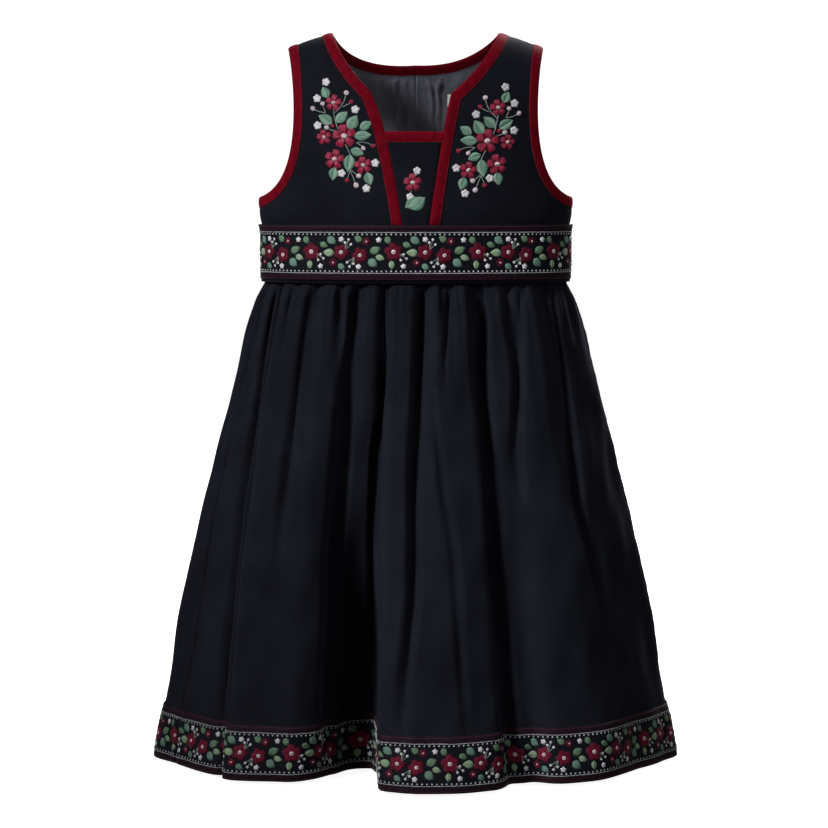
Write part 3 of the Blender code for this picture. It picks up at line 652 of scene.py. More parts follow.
def back_outline(side, under=UNDER_BINDING, centre_gap=SEAM_GAP):
    neck, shoulder = neck_line(side, under)
    arm, arm_low = armhole_line(side, under)
    top, outer = as_turns(neck[shoulder:]), as_turns(np.vstack([arm[arm_low:], arm[:1]]))
    top[0, 1] = outer[-1, 1] = -SEAM_GAP / 2
    outer[0] = (side_turn(side), -abs(outer[0, 1]))
    top[-1, 0] = side * centre_gap / 2 / CHEST_HALF
    low = level_row(np.linspace(top[-1, 0], side_turn(side), 60), WAIST_SEAM, back=True)
    centre, seam = seam_points(top[-1], low[0]), seam_points(low[-1], outer[0])
    return np.vstack([top, centre, low, seam, outer, seam_points(outer[-1], top[0])])


def neck_turns(side, heights, past=UNDER_INSERT):
    path, shoulder = neck_line(side, past)
    front = path[: shoulder + 1]
    return np.interp(heights, front[:, 2], as_turns(front)[:, 0])


def insert_outline():
    heights = np.linspace(WAIST_SEAM, BAR_TOP - BAR_HEIGHT / 2, 60)
    left, right = (level_row(neck_turns(side, heights), heights) for side in (-1, 1))
    top = level_row(np.linspace(left[-1, 0], right[-1, 0], 24), heights[-1])
    foot = level_row(np.linspace(right[0, 0], left[0, 0], 6), WAIST_SEAM)
    return np.vstack([left[:-1], top, right[::-1][1:-1], foot[:-1]])


# %% How worn wool ripples
RIPPLES = ((16, 7, 0.4, 0.00022), (-9, 15, 1.9, 0.00018), (27, -6, 3.1, 0.0001))
RIPPLE_SETTLES = 0.014  # metres from a sewn edge to where a ripple has its full height
UNDER_BAND, BAND_HOLDS = 0.002, 0.018  # above the band: where ripples start, and over what height
EDGE_ROLLS, ROLL_REACH = 0.0005, 0.0026  # how the centre back bends in to the zip


def ripple(flat, gap, z):
    """How far the wool stands off: waves that die out at seams and at the band."""
    waves = sum(
        size * (1 + np.sin(tau * (a * flat[:, 0] + b * flat[:, 1]) + turn))
        for a, b, turn, size in RIPPLES
    )
    return waves * smooth(gap / RIPPLE_SETTLES) * smooth((z - BAND_TOP - UNDER_BAND) / BAND_HOLDS)


def wool_panel(name, outline):
    flat, faces, gap = cut_panel(outline, CELL)
    points = on_figure(flat[:, 0] / CLOTH_SCALE[0], flat[:, 1])
    outs = way_out(points)
    rolled = -EDGE_ROLLS * (1 - smooth(np.abs(points[:, 0]) / ROLL_REACH)) * (points[:, 1] > 0)
    points = points + outs * (ripple(flat, gap, points[:, 2]) + rolled)[:, None]
    return sheet_piece(name, points, outs, faces, CLOTH, flat, WOOL)


bodice = {}
for hand, word in WORDS.items():
    bodice[f"bodice_front_{word}"] = wool_panel(f"front_{word}_wool", front_outline(hand))
    bodice[f"bodice_back_{word}"] = wool_panel(f"back_{word}_wool", back_outline(hand))
bodice["front_insert"] = wool_panel("insert_wool", insert_outline())
tell_faces(bodice)

# %% [markdown]
# ## Lining and label
# Satin lines the back, and shows inside the neck. It hangs a little loose, so it falls in soft
# upright folds with one sharp tuck beside the zip; each fold is a ridge. A plain label sits at
# the neck.
# %% Lining
LINING_WALL = 0.0004
LINING_LEANS = ((0.0006, 0.075), (0.0004, 0.031))  # how far a fold sways, and over what height
LINING_SEWN = 0.0025  # from the raw edge to where the lining hangs free
LINING_ROWS = (  # near side, far side, depth, path of (height, across) from low to high
    (0.012, 0.012, 0.0007, ((-0.1, -0.062), (-0.03, -0.06))),
    (0.01, 0.006, 0.0012, ((-0.1, -0.034), (-0.03, -0.037))),
    (0.0034, 0.0014, 0.0023, ((-0.08, -0.0176), (-0.05, -0.0186), (-0.025, -0.0176))),
    (0.005, 0.004, 0.0012, ((-0.08, -0.006), (-0.03, -0.01))),
    (0.004, 0.005, 0.001, ((-0.08, 0.002), (-0.03, -0.001))),
    (0.003, 0.0014, 0.0024, ((-0.08, 0.015), (-0.038, 0.0148), (-0.031, 0.012), (-0.0265, 0.005))),
    (0.003, 0.0012, 0.003, ((-0.08, 0.0208), (-0.04, 0.0212), (-0.032, 0.023), (-0.024, 0.0252))),
    (0.009, 0.008, 0.0012, ((-0.1, 0.04), (-0.03, 0.04))),
    (0.012, 0.012, 0.0007, ((-0.1, 0.066), (-0.03, 0.064))),
)


def crest(away, near, far):
    """A soft ridge of height 1 with a flank of its own width on each side."""
    return np.cos(np.clip(np.where(away < 0, away / near, away / far), -1, 1) * pi / 2) ** 2


def lining_sag(flat, gap, x, z):
    """How far the lining stands inwards of its seams."""
    lean = sum(size * np.sin(tau * z / step) for size, step in LINING_LEANS)
    deep = np.zeros(len(x))
    for near, far, depth, path in LINING_ROWS:
        deep += depth * crest(x - np.interp(z, *zip(*path)) - lean, near, far)
    crumple = 0.00035 * np.sin(tau * (flat[:, 1] * 75 + 0.8 * np.sin(flat[:, 0] * 140)))
    crumple *= 1 - smooth((-0.03 - z) / 0.045)
    from_seam = gap - LINING_SEWN
    return deep * smooth(from_seam / 0.007) + np.maximum(crumple, 0) * smooth(from_seam / 0.006)


def lining_piece(side):
    """Half of the lining; the two halves hang as one cloth where they meet, at a turn of 0."""
    outline = back_outline(side, UNDER_LINING, 0)
    flat, faces, _ = cut_panel(outline, LINING_CELL)
    beyond = np.where(np.abs(outline[:, :1]) < 1e-9, (-side * 0.5, 0), (0, 0))
    _, gap = to_outline(laid_flat(outline + beyond), flat)
    points = on_figure(flat[:, 0] / CLOTH_SCALE[0], flat[:, 1])
    outs = way_out(points)
    inwards = 0.0007 + 0.0008 * smooth((gap - LINING_SEWN) / 0.012)
    inwards = inwards + lining_sag(flat, gap, points[:, 0], points[:, 2])
    middle = points - outs * inwards[:, None]
    return sheet_piece(f"lining_{WORDS[side]}_satin", middle, outs, faces, LINING_WALL, flat, SATIN)


lining = {f"lining_back_{word}": lining_piece(hand) for hand, word in WORDS.items()}
print("lining folds:", len(LINING_ROWS))

# %% Label
LABEL_SIZE = (0.02, 0.011)
LABEL_PLACE = (0.0396, -0.0482)
LABEL_CELLS = (16, 10)
LABEL_IN, LABEL_BOWS, LABEL_LIFTS = 0.0032, 0.0004, 0.0005


def label_piece():
    across, below = grid_shares(*LABEL_CELLS)
    x = LABEL_PLACE[0] + (0.5 - across) * LABEL_SIZE[0]
    z = LABEL_PLACE[1] + (0.5 - below) * LABEL_SIZE[1]
    points, outs = on_back(x, z)
    curl = LABEL_BOWS * np.sin(across * pi) + LABEL_LIFTS * below**2
    middle = points - outs * (LABEL_IN + curl)[:, None]
    flat = np.c_[across * LABEL_SIZE[0], below * LABEL_SIZE[1]]
    return sheet_piece("label_satin", middle, outs, grid_faces(*LABEL_CELLS), LINING_WALL, flat, LABEL)


label = label_piece()
print("label:", LABEL_SIZE)

# %% [markdown]
# ## Velvet bindings
# A bias strip of velvet is folded over each raw edge. Its section is a flat U: a leg outside,
# a soft rounded nose at the edge and a leg inside. It is lofted along the edge, and the legs
# pucker a little between the stitches.
# %% Bindings
BINDING_SECTION = (  # (into the cloth, outwards) of the outer half, from the end of the leg
    (0.0095, 0.00045), (0.00945, 0.00085), (0.009, 0.00112), (0.0082, 0.00108), (0.0074, 0.00122),
    (0.006, 0.00138), (0.0042, 0.00142), (0.0026, 0.00134), (0.0012, 0.00108), (0.0004, 0.00066),
    (0, 0.00022),
)
BINDING_HOLLOW = ((0.0016, -0.00045), (0.0011, 0), (0.0016, 0.00045))
PUCKER_STEP, LONG_PUCKER_STEP, PUCKER = 0.0062, 0.0171, 0.0001
BAR_LOWER = 0.0003  # the bar's binding lies under the neck's


def outward(made, mesh):
    bmesh.ops.recalc_face_normals(made, faces=made.faces)
    made.to_mesh(mesh)
    made.free()


def binding_piece(name, line_at, closed, lower):
    """A folded strip; line_at gives the edge moved into the cloth by a distance."""
    outer = list(BINDING_SECTION) + [(into, -out) for into, out in BINDING_SECTION[::-1]]
    section = np.array(outer + list(BINDING_HOLLOW))
    reached = run_along(line_at(0))
    rings = []
    for into, out in section:
        path = line_at(into)
        wave = PUCKER * np.sin(tau * reached / PUCKER_STEP + 60 * into)
        wave += PUCKER * 0.7 * np.sin(tau * reached / LONG_PUCKER_STEP)
        leg = smooth(into / 0.004) * np.sign(out) * (abs(out) > 0.0005)
        rings.append(path + way_out(path) * (out - lower + wave * leg)[:, None])
    rings = np.stack(rings, axis=1)
    count, around = rings.shape[:2]
    faces = []
    for k in range(count if closed else count - 1):
        here, there = k * around, (k + 1) % count * around
        for j in range(around):
            i = (j + 1) % around
            faces.append((here + j, there + j, there + i, here + i))
    if not closed:
        faces += [range(around), range((count - 1) * around, count * around)]
    flat = np.c_[np.repeat(reached, around), np.tile(run_along(section), count)]
    piece = new_piece(name, rings.reshape(-1, 3), faces, VELVET, flat)
    made = bmesh.new()
    made.from_mesh(piece.data)
    outward(made, piece.data)
    return piece


def bar_line(into):
    height = BAR_TOP - into
    left, right = (float(neck_turns(side, height, 0.003)) for side in (-1, 1))
    return on_figure(*level_row(np.linspace(left, right, 34), height).T)


def neck_fold(side, into):
    """The neck edge moved in, ending behind the waistband."""
    path = neck_line(side, into)[0].copy()
    path[:, 2] = np.maximum(path[:, 2], BAND_BOTTOM + 0.0012)
    return path


def armhole_fold(side, into):
    return armhole_line(side, into)[0]


BOUND_EDGES = {}  # for each solid: the piece's word, its line, whether it closes, how low it lies
for hand, word in WORDS.items():
    neck, arm = functools.partial(neck_fold, hand), functools.partial(armhole_fold, hand)
    BOUND_EDGES[f"neck_binding_{word}"] = (f"neck_{word}", neck, False, 0)
    BOUND_EDGES[f"armhole_binding_{word}"] = (f"armhole_{word}", arm, True, 0)
BOUND_EDGES["insert_binding"] = ("insert_bar", bar_line, False, BAR_LOWER)
bindings = {}
for solid, (word, *edge) in BOUND_EDGES.items():
    bindings[solid] = binding_piece(f"{word}_velvet", *edge)
print("bindings:", sorted(bindings))

# %% [markdown]
# ## Waistband and its ribbon
# A stiff band of wool closes the waist, and the flower ribbon is sewn on it. Both are level
# strips on the waist's oval, in three lengths. A place on them is metres along and metres down,
# which is also their UV map, so flowers and stitches are laid on by the same measure.
# %% Places on the waist
oval_turns = np.linspace(-pi / 2, 1.5 * pi, 4001)
oval_points = np.c_[WAIST_HALF * np.sin(oval_turns), WAIST_DEPTH * np.cos(oval_turns)]
oval_reached = run_along(oval_points)
WAIST_ROUND = oval_reached[-1]
BAND_RISE, BAND_WALL = 0.0023, 0.0012
EASING, EASE_STEP = 0.0002, 0.061  # how the band waves in and out
RIBBON_RISE, RIBBON_WALL = 0.0034, 0.0006  # of the ribbon's middle over the bodice


def on_waist(along, down):
    """(points, ways out) at metres along from the left side, and metres down."""
    turn = np.interp(np.mod(along, WAIST_ROUND), oval_reached, oval_turns)
    z = BAND_TOP - down
    half, depth = half_sizes(z)
    points = np.stack([half * np.sin(turn), -depth * np.cos(turn), z], axis=-1)
    tangent = np.stack([half * np.cos(turn), depth * np.sin(turn), 0 * turn], axis=-1)
    outs = np.cross(unit(tangent), (0, 0, 1))
    easing = EASING * (1 + np.sin(tau * along / EASE_STEP)) * np.sin(pi * down / 0.05)
    return points + outs * easing[..., None], outs


def strip_piece(name, place, span, depth, cell, rise, wall, material):
    """A strip between two places along, of a depth, with the wall's middle at a rise."""
    steps = (round((span[1] - span[0]) / cell), 14)
    across, below = grid_shares(*steps)
    along = span[0] + SEAM_GAP / 2 + (span[1] - span[0] - SEAM_GAP) * across
    points, outs = place(along, depth * below)
    flat = np.c_[along, depth * below]
    return sheet_piece(name, points + outs * rise, outs, grid_faces(*steps), wall, flat, material)


WAIST_SPANS = {
    "front": (0, WAIST_ROUND / 2),
    "back_right": (WAIST_ROUND / 2, WAIST_ROUND * 3 / 4),
    "back_left": (WAIST_ROUND * 3 / 4, WAIST_ROUND),
}
band = {}
for word, span in WAIST_SPANS.items():
    measures = (BAND_TOP - BAND_BOTTOM, LINE_STEP, BAND_RISE, BAND_WALL)
    band[word] = strip_piece(f"band_{word}_wool", on_waist, span, *measures, WOOL)
print("waist round in metres:", round(WAIST_ROUND, 3))

# %% [markdown]
# ## The skirt
# The skirt is a wide ring of cloth drawn together at the waist. Its hem is an oval with folds
# that stand out of it, and each place of the hem is led up to its own place at the waist, where
# pinches push it in. The same formulas made the solids; here they get many more rows.
# %% Folds of the hem and gathers of the waist
HEM_HALF, HEM_DEPTH = 0.2372, 0.118
FLARE_BELLY = 0.28
SKIRT_TOP_HALF, SKIRT_TOP_DEPTH = 0.131, 0.064
FOLD_ROUND = 0.011
PINCH_TOP, GATHER_OPENS = 0.0065, 0.04
SIDE_SEAM = 0.064
FINE = 4001
FOLD_ROWS = (  # middle, half width, near flank, far flank in degrees, and how far it stands out
    (22.6, 12.6, 16, 22, -0.0095), (44.6, 0.5, 2.2, 1.4, -0.012), (49.9, 4.6, 3, 14, 0.0095),
    (75.4, 6.6, 15, 2.4, -0.052), (95.2, 13, 2.4, 4.5, 0.019), (94.5, 8, 8, 10, 0.009),
    (115.5, 1.5, 5, 4, -0.0045), (127, 8, 6, 12, 0.01), (158, 14.5, 14, 14, -0.0093),
    (203, 4, 8, 8, -0.01), (224, 3, 6, 5, -0.024), (243, 8, 6, 7, 0.014),
    (260, 3.5, 5, 5, -0.032), (276, 6, 5, 6, 0.018), (292, 3.5, 5, 5, -0.03),
    (309, 6, 6, 7, 0.012), (326, 2.5, 6, 7, -0.02), (344, 3, 8, 8, 0.004),
)
GATHER_ROWS = (  # place at the hem, place at the waist
    (0, 0), (0.176, 0.107), (0.255, 0.224), (0.345, 0.344), (0.408, 0.412), (0.512, 0.442),
    (0.54, 0.503), (0.66, 0.64), (0.71, 0.672), (0.82, 0.87), (1, 1),
)
PINCH_ROWS = (  # place, near side, far side, depth, share of the length that it runs down
    (0.045, 0.028, 0.028, 0.0035, 0.2), (0.107, 0.03, 0.022, 0.0075, 0.45),
    (0.164, 0.022, 0.022, 0.0045, 0.13), (0.224, 0.03, 0.036, 0.0085, 0.5),
    (0.297, 0.026, 0.018, 0.0065, 0.2), (0.344, 0.026, 0.034, 0.0095, 0.95),
    (0.418, 0.034, 0.03, 0.0095, 0.9), (0.52, 0.036, 0.034, 0.01, 0.9),
    (0.585, 0.03, 0.026, 0.007, 0.24), (0.66, 0.034, 0.03, 0.01, 0.95),
    (0.7, 0.012, 0.016, 0.0035, 0.09), (0.749, 0.028, 0.034, 0.0075, 0.42),
    (0.87, 0.052, 0.03, 0.008, 0.75), (0.945, 0.028, 0.028, 0.0035, 0.25),
)


# %% Rings of the skirt
def oval(angle, half, depth):
    """A point of an oval ring: 0 is the left side, 90 degrees the front, 270 the back."""
    return np.stack([-half * np.cos(angle), -depth * np.sin(angle)], axis=-1)


def oval_outward(angle, half, depth):
    return unit(np.stack([-depth * np.cos(angle), -half * np.sin(angle)], axis=-1))


def fold_depth(angle):
    """How far the hem stands out of its oval at an angle in degrees."""
    out = np.zeros_like(angle)
    for middle, half, near_flank, far_flank, stands_out in FOLD_ROWS:
        near = (angle - middle + half) / near_flank + 0.5
        far = (middle + half - angle) / far_flank + 0.5
        out += stands_out * smooth(near) * smooth(far)
    return out


def with_round_corners(points, reach):
    """A line with its corners rounded, its ends kept and its points spaced evenly."""
    run = run_along(points)
    points = read_at(np.linspace(0, run[-1], FINE), run, points)
    half = round(reach / run[-1] * FINE)
    weights = np.hanning(2 * half + 3)[1:-1]
    weights /= weights.sum()
    before = 2 * points[0] - points[half:0:-1]
    after = 2 * points[-1] - points[-2 : -half - 2 : -1]
    longer = np.vstack([before, points, after])
    return np.stack([np.convolve(longer[:, k], weights, "valid") for k in range(2)], axis=1)


def hem_ring(start):
    """Half of the hem: its length, the share of it reached at each point, and the points."""
    in_degrees = np.linspace(start, start + 180, FINE)
    angle = np.radians(in_degrees)
    out = oval_outward(angle, HEM_HALF, HEM_DEPTH) * fold_depth(in_degrees)[:, None]
    points = with_round_corners(oval(angle, HEM_HALF, HEM_DEPTH) + out, FOLD_ROUND)
    run = run_along(points)
    return run[-1], run / run[-1], points


def waist_ring(start):
    """Half of the skirt's top: the share reached at each point, the points and ways out."""
    angle = np.linspace(start, start + pi, FINE)
    points = oval(angle, SKIRT_TOP_HALF, SKIRT_TOP_DEPTH)
    run = run_along(points)
    return run / run[-1], points, oval_outward(angle, SKIRT_TOP_HALF, SKIRT_TOP_DEPTH)


HEM_RINGS = (hem_ring(0), hem_ring(180))  # the front half, then the back
WAIST_RINGS = (waist_ring(0), waist_ring(pi))
HEM_FRONT, HEM_BACK = (ring[0] for ring in HEM_RINGS)
HEM_ROUND = HEM_FRONT + HEM_BACK
print("hem in metres:", round(HEM_FRONT, 3), round(HEM_BACK, 3))

# %% Gathers
even_places = np.linspace(-0.2, 1.2, 1401)
led_up = np.interp(even_places, *zip(*GATHER_ROWS))
led_up = np.where((even_places < 0) | (even_places > 1), even_places, led_up)
soft_weights = np.hanning(43)[1:-1]
led_up = np.convolve(led_up, soft_weights / soft_weights.sum(), "same")


def gathered_to(place):
    return np.interp(place, even_places, led_up)


def pinched(place, fallen, mirrored):
    out = np.full(np.broadcast(place, fallen).shape, PINCH_TOP)
    for middle, near, far, depth, runs_down in PINCH_ROWS:
        away = place - middle
        if mirrored:
            away, near, far = place - 1 + middle, far, near
        out -= depth * crest(away, near, far) * (1 - smooth(fallen / runs_down))
    opening = 0.55 + 0.45 * smooth(fallen / GATHER_OPENS)
    return out * opening * (1 - fallen)


# %% Points of the skirt
def half_skirt(place, fallen, back):
    """Points of the front or the back half, by the share of that half's hem."""
    _, hem_run, hem_points = HEM_RINGS[back]
    top_run, top_points, top_out = WAIST_RINGS[back]
    waist_at = place if back else gathered_to(place)
    spread = (fallen + FLARE_BELLY * fallen * (1 - fallen))[..., None]
    flat = read_at(waist_at, top_run, top_points) * (1 - spread)
    flat = flat + read_at(place, hem_run, hem_points) * spread
    return flat + read_at(waist_at, top_run, top_out) * pinched(waist_at, fallen, back)[..., None]


def skirt_points(place, fallen):
    """The place is 0 at the left side, 1 at the right and 2 back at the left."""
    place = np.mod(place, 2)
    front = half_skirt(np.minimum(place, 1), fallen, False)
    rear = half_skirt(np.maximum(place - 1, 0), fallen, True)
    flat = np.where((place < 1)[..., None], front, rear)
    z = SKIRT_TOP + (HEM - SKIRT_TOP) * fallen
    return np.concatenate([flat, z[..., None]], axis=-1)


def outward_of(shape, place, fallen, small=2e-4):
    along = shape(place + small, fallen) - shape(place - small, fallen)
    down = shape(place, fallen + small) - shape(place, fallen - small)
    return unit(np.cross(down, along))


# %% Fine gathers, ripples and seams
GATHER_WAVES = ((26, 0, 0.0008, 0.085), (43, 1.3, 0.00055, 0.05), (64, 2.6, 0.00035, 0.03))
LONG_WAVES = ((5, 2, 0.4, 0.0011), (9, -3, 2.2, 0.0008), (17, 5, 4, 0.00035))
LONG_FOLD_ROWS = (  # depth, near side, far side, start, end, path of (share down, place)
    (0.0068, 0.01, 0.0048, 0, 1, ((0, 0.151), (0.1, 0.147), (0.24, 0.152), (0.45, 0.145),
     (1, 0.156))),
    (0.0075, 0.006, 0.0055, 0, 0.2, ((0, 0.206), (0.1, 0.204))),
    (0.007, 0.0085, 0.008, 0, 0.62, ((0, 0.245), (0.14, 0.242), (0.54, 0.236), (0.7, 0.238))),
    (0.0065, 0.0065, 0.0065, 0, 0.2, ((0, 0.298), (0.09, 0.311))),
    (0.011, 0.019, 0.0095, 0, 1.05, ((0, 0.336), (0.34, 0.338), (0.64, 0.334), (1, 0.332))),
    (0.019, 0.046, 0.006, 0.34, 1.12, ((0.34, 0.39), (1, 0.394))),
    (0.007, 0.0085, 0.008, 0, 0.98, ((0, 0.42), (0.15, 0.426), (0.34, 0.398), (0.54, 0.395),
     (1, 0.4))),
    (0.01, 0.009, 0.0085, 0, 0.95, ((0, 0.552), (0.1, 0.552), (0.33, 0.545), (0.62, 0.545),
     (0.8, 0.533))),
    (0.007, 0.007, 0.0065, 0, 0.24, ((0, 0.619), (0.14, 0.6))),
    (0.0028, 0.007, 0.008, 0.1, 0.98, ((0.1, 0.562), (0.33, 0.584), (0.53, 0.606), (0.9, 0.618))),
    (0.012, 0.011, 0.015, 0, 1.05, ((0, 0.713), (0.23, 0.684), (0.43, 0.677), (0.63, 0.684),
     (1, 0.692))),
    (0.005, 0.0045, 0.0045, 0, 0.13, ((0, 0.736), (0.06, 0.727))),
    (0.007, 0.0075, 0.008, 0, 0.5, ((0, 0.776), (0.14, 0.757), (0.33, 0.738))),
    (0.0078, 0.009, 0.011, 0, 0.76, ((0, 0.852), (0.24, 0.841), (0.44, 0.829), (0.64, 0.852),
     (0.9, 0.872))),
    (0.003, 0.01, 0.008, 0, 0.6, ((0, 1.09), (0.6, 1.105))),
    (0.005, 0.011, 0.01, 0, 1, ((0, 1.235), (0.5, 1.24), (1, 1.222))),
    (0.0036, 0.009, 0.01, 0, 0.55, ((0, 1.34), (0.5, 1.352))),
    (0.006, 0.011, 0.011, 0, 1, ((0, 1.415), (0.5, 1.432), (1, 1.44))),
    (0.006, 0.011, 0.011, 0, 1, ((0, 1.64), (0.5, 1.622), (1, 1.62))),
    (0.0036, 0.009, 0.008, 0, 0.5, ((0, 1.735), (0.5, 1.722))),
    (0.0046, 0.01, 0.011, 0, 0.95, ((0, 1.815), (0.5, 1.822), (1, 1.815))),
    (0.003, 0.009, 0.009, 0, 0.6, ((0, 1.925), (0.6, 1.915))),
)
FOLD_OPENS, FOLD_WIDENS, FOLD_DIES = 0.035, 0.4, 0.25
SEAM_PLACES = {SIDE_SEAM: 1, 1: 0.35, 1.5: 0.35}  # place of each seam, and how it puckers
SEAM_SINKS, SEAM_HALF_WIDTH = 0.0022, 0.0015
PUCKER_DEEP, PUCKER_REACH = 0.0006, 0.008
PUCKER_STEPS = (0.0125, 0.0311)


def long_valleys(place, fallen):
    out = np.zeros(np.broadcast(place, fallen).shape)
    metres = 0.42 + 0.25 * fallen  # of cloth across, for a place of 1
    widening = 0.62 + 0.38 * smooth(fallen / FOLD_WIDENS)
    for depth, near, far, starts, ends, path in LONG_FOLD_ROWS:
        away = (place - np.interp(fallen, *zip(*path))) * metres / widening
        opening = smooth((fallen - starts) / (FOLD_OPENS + starts))
        out += depth * crest(away, near, far) * opening * smooth((ends - fallen) / FOLD_DIES)
    return out * widening


def skirt_relief(place, fallen):
    """What stands out of the plain folds: gathers, soft waves and seams."""
    place = np.mod(place, 2)
    waist_at = np.where(place < 1, gathered_to(np.minimum(place, 1)), place)
    out = -long_valleys(place, fallen)
    opened = smooth(fallen / 0.012)
    for count, turn, size, dies in GATHER_WAVES:
        out += size * np.sin(tau * count * waist_at + turn) * np.exp(-fallen / dies) * opened
    for count, lean, turn, size in LONG_WAVES:
        wave = np.sin(tau * (count * place + lean * fallen) + turn)
        out += size * wave * smooth(fallen / 0.12) * smooth((1 - fallen) / 0.1)
    height = (HEM - SKIRT_TOP) * fallen
    beat = sum(np.sin(tau * height / step) for step in PUCKER_STEPS)
    for seam, puckers in SEAM_PLACES.items():
        away = (place - seam) * (HEM_FRONT if seam < 1 else HEM_BACK) * (0.45 + 0.55 * fallen)
        out -= SEAM_SINKS * np.exp(-((away / SEAM_HALF_WIDTH) ** 2))
        drawn = np.exp(-((away / PUCKER_REACH) ** 2)) * smooth(fallen / 0.1)
        out += PUCKER_DEEP * puckers * beat * drawn
    return out


def skirt_surface(place, fallen):
    outs = outward_of(skirt_points, place, fallen)
    return skirt_points(place, fallen) + outs * skirt_relief(place, fallen)[..., None]


# %% Pieces of the skirt
SKIRT_SPANS = {"front": (SIDE_SEAM, 1), "back_right": (1, 1.5), "back_left": (1.5, 2 + SIDE_SEAM)}
SKIRT_COLUMNS, SKIRT_ROWS, CROWDED_UP = 440, 84, 1.35
SKIRT_LENGTH = SKIRT_TOP - HEM


def seamed(points, across):
    grid = points.reshape(np.count_nonzero(across == 0), -1, 3)
    along = unit(np.gradient(grid, axis=1)).reshape(-1, 3)
    ends = (across == 0).astype(float) - (across == 1)
    return points + along * ends[:, None] * SEAM_GAP / 2


def metres_along(place):
    wraps = np.floor(place / 2)
    rest = place - 2 * wraps
    reached = np.where(rest < 1, rest * HEM_FRONT, HEM_FRONT + (rest - 1) * HEM_BACK)
    return wraps * HEM_ROUND + reached


def skirt_piece(word, first, last):
    columns = round(SKIRT_COLUMNS * (last - first))
    across, below = grid_shares(columns, SKIRT_ROWS)
    place, fallen = first + (last - first) * across, below**CROWDED_UP
    middle = seamed(skirt_surface(place, fallen), across)
    outs = outward_of(skirt_surface, place, fallen)
    flat = np.c_[metres_along(place), SKIRT_LENGTH * fallen]
    faces = grid_faces(columns, SKIRT_ROWS)
    return sheet_piece(f"skirt_{word}_wool", middle, outs, faces, CLOTH, flat, WOOL)


skirt = {word: skirt_piece(word, *span) for word, span in SKIRT_SPANS.items()}
tell_faces(skirt)

# %% [markdown]
# ## The waist seam
# Where the gathers are sewn to the bodice, their raw edge is turned up inside and closes the
# dress between each gather and the lining. This strip starts on the inner side of the skirt, so
# it has the same ripples, and ends on the inner side of the bodice.
# %% Turned-up edge of the gathers
TURN_UP_IN, TURN_UP_WALL = 0.0012, 0.0006
TURN_UP_STARTS = (0.012, 0.006, 0)  # shares down the skirt
TURN_UP_RISES = ((0.35, 0.0022), (0.7, 0.005), (1.00, 0.009))  # share of the way to the bodice, rise
TURN_UP_COLUMNS = 880


def turned_up_rows(place):
    """(rows of points, ways out) from low on the skirt to high on the bodice."""
    rows = []
    for fallen in TURN_UP_STARTS:
        down = np.full(len(place), fallen)
        rows.append(skirt_surface(place, down) - outward_of(skirt_surface, place, down) * TURN_UP_IN)
    edge = rows[-1]
    angle = np.arctan2(-edge[:, 1] / SKIRT_TOP_DEPTH, -edge[:, 0] / SKIRT_TOP_HALF)
    inside = 0.0017 + 0.0007 * np.clip(edge[:, 1] / 0.01, -1, 1)
    outs = oval_outward(angle, WAIST_HALF, WAIST_DEPTH)
    bodice_side = oval(angle, WAIST_HALF, WAIST_DEPTH) - outs * inside[:, None]
    for share, rise in TURN_UP_RISES:
        flat = edge[:, :2] * (1 - share) + bodice_side * share
        rows.append(np.column_stack([flat, edge[:, 2] + rise]))
    for row in rows[len(TURN_UP_STARTS) - 1 :]:
        past = np.linalg.norm(row[:, :2], axis=1) / np.linalg.norm(bodice_side, axis=1)
        row[:, :2] /= np.maximum(past, 1)[:, None]
    return rows[::-1], np.column_stack([outs, np.zeros(len(outs))])


def turned_up_piece():
    rows, outs = turned_up_rows(np.linspace(1.5, 3.5, TURN_UP_COLUMNS + 1))
    across = run_along(rows[len(rows) // 2][:, :2])
    below = run_along(np.array([row[0] for row in rows]))
    flat = np.c_[np.tile(across, len(rows)), np.repeat(-below, len(across))]
    faces = grid_faces(TURN_UP_COLUMNS, len(rows) - 1)
    outs = np.tile(outs, (len(rows), 1))
    return sheet_piece("waist_seam_wool", np.vstack(rows), outs, faces, TURN_UP_WALL, flat, WOOL)


waist_seam = turned_up_piece()
tell_faces({"waist": waist_seam})

# %% [markdown]
# ## The ribbons
# The same ribbon goes round the waist and the hem. At the hem each of its points is a point of
# the skirt moved out, so it follows every fold. The two differ only in their measures, so every
# later step on them is one loop.
# %% Places on the hem
HEM_RIBBON_RISE, RIBBON_PROUD = 0.0014, 0.0004


def on_hem(along, down):
    """(points, ways out) at metres along the hem and metres down the ribbon."""
    along = np.mod(along, HEM_ROUND)
    place = np.where(along < HEM_FRONT, along / HEM_FRONT, 1 + (along - HEM_FRONT) / HEM_BACK)
    fallen = (SKIRT_TOP - (HEM + RIBBON_WIDTH) + down) / SKIRT_LENGTH
    outs = outward_of(skirt_surface, place, fallen)
    proud = RIBBON_PROUD * np.sin(pi * np.clip(down / RIBBON_WIDTH, 0, 1)) ** 0.5
    return skirt_surface(place, fallen) + outs * proud[..., None], outs


HEM_SPANS = {word: tuple(float(metres_along(p)) for p in span) for word, span in SKIRT_SPANS.items()}
print("hem ribbons:", HEM_SPANS)

# %% Lengths of ribbon
RIBBON_COLUMNS = ("place", "spans", "round", "rise", "cell", "first_flower", "wear")
RIBBON_ROWS = {  # this factor scales pale yarn: painted shade that dims it at the hem, and a little painted light that brightens it at the waist
    "waist": (on_waist, WAIST_SPANS, WAIST_ROUND, RIBBON_RISE, LINE_STEP, -0.0184, 1.06),
    "hem": (on_hem, HEM_SPANS, HEM_ROUND, HEM_RIBBON_RISE, 0.0026, 0.0314, 0.74),
}
RIBBONS = {where: dict(zip(RIBBON_COLUMNS, row)) for where, row in RIBBON_ROWS.items()}


def on_each_ribbon(make):
    """What a function makes of each length of ribbon, by the length's name."""
    return {
        f"{where}_{word}": make(f"{where}_{word}", ribbon, span)
        for where, ribbon in RIBBONS.items()
        for word, span in ribbon["spans"].items()
    }


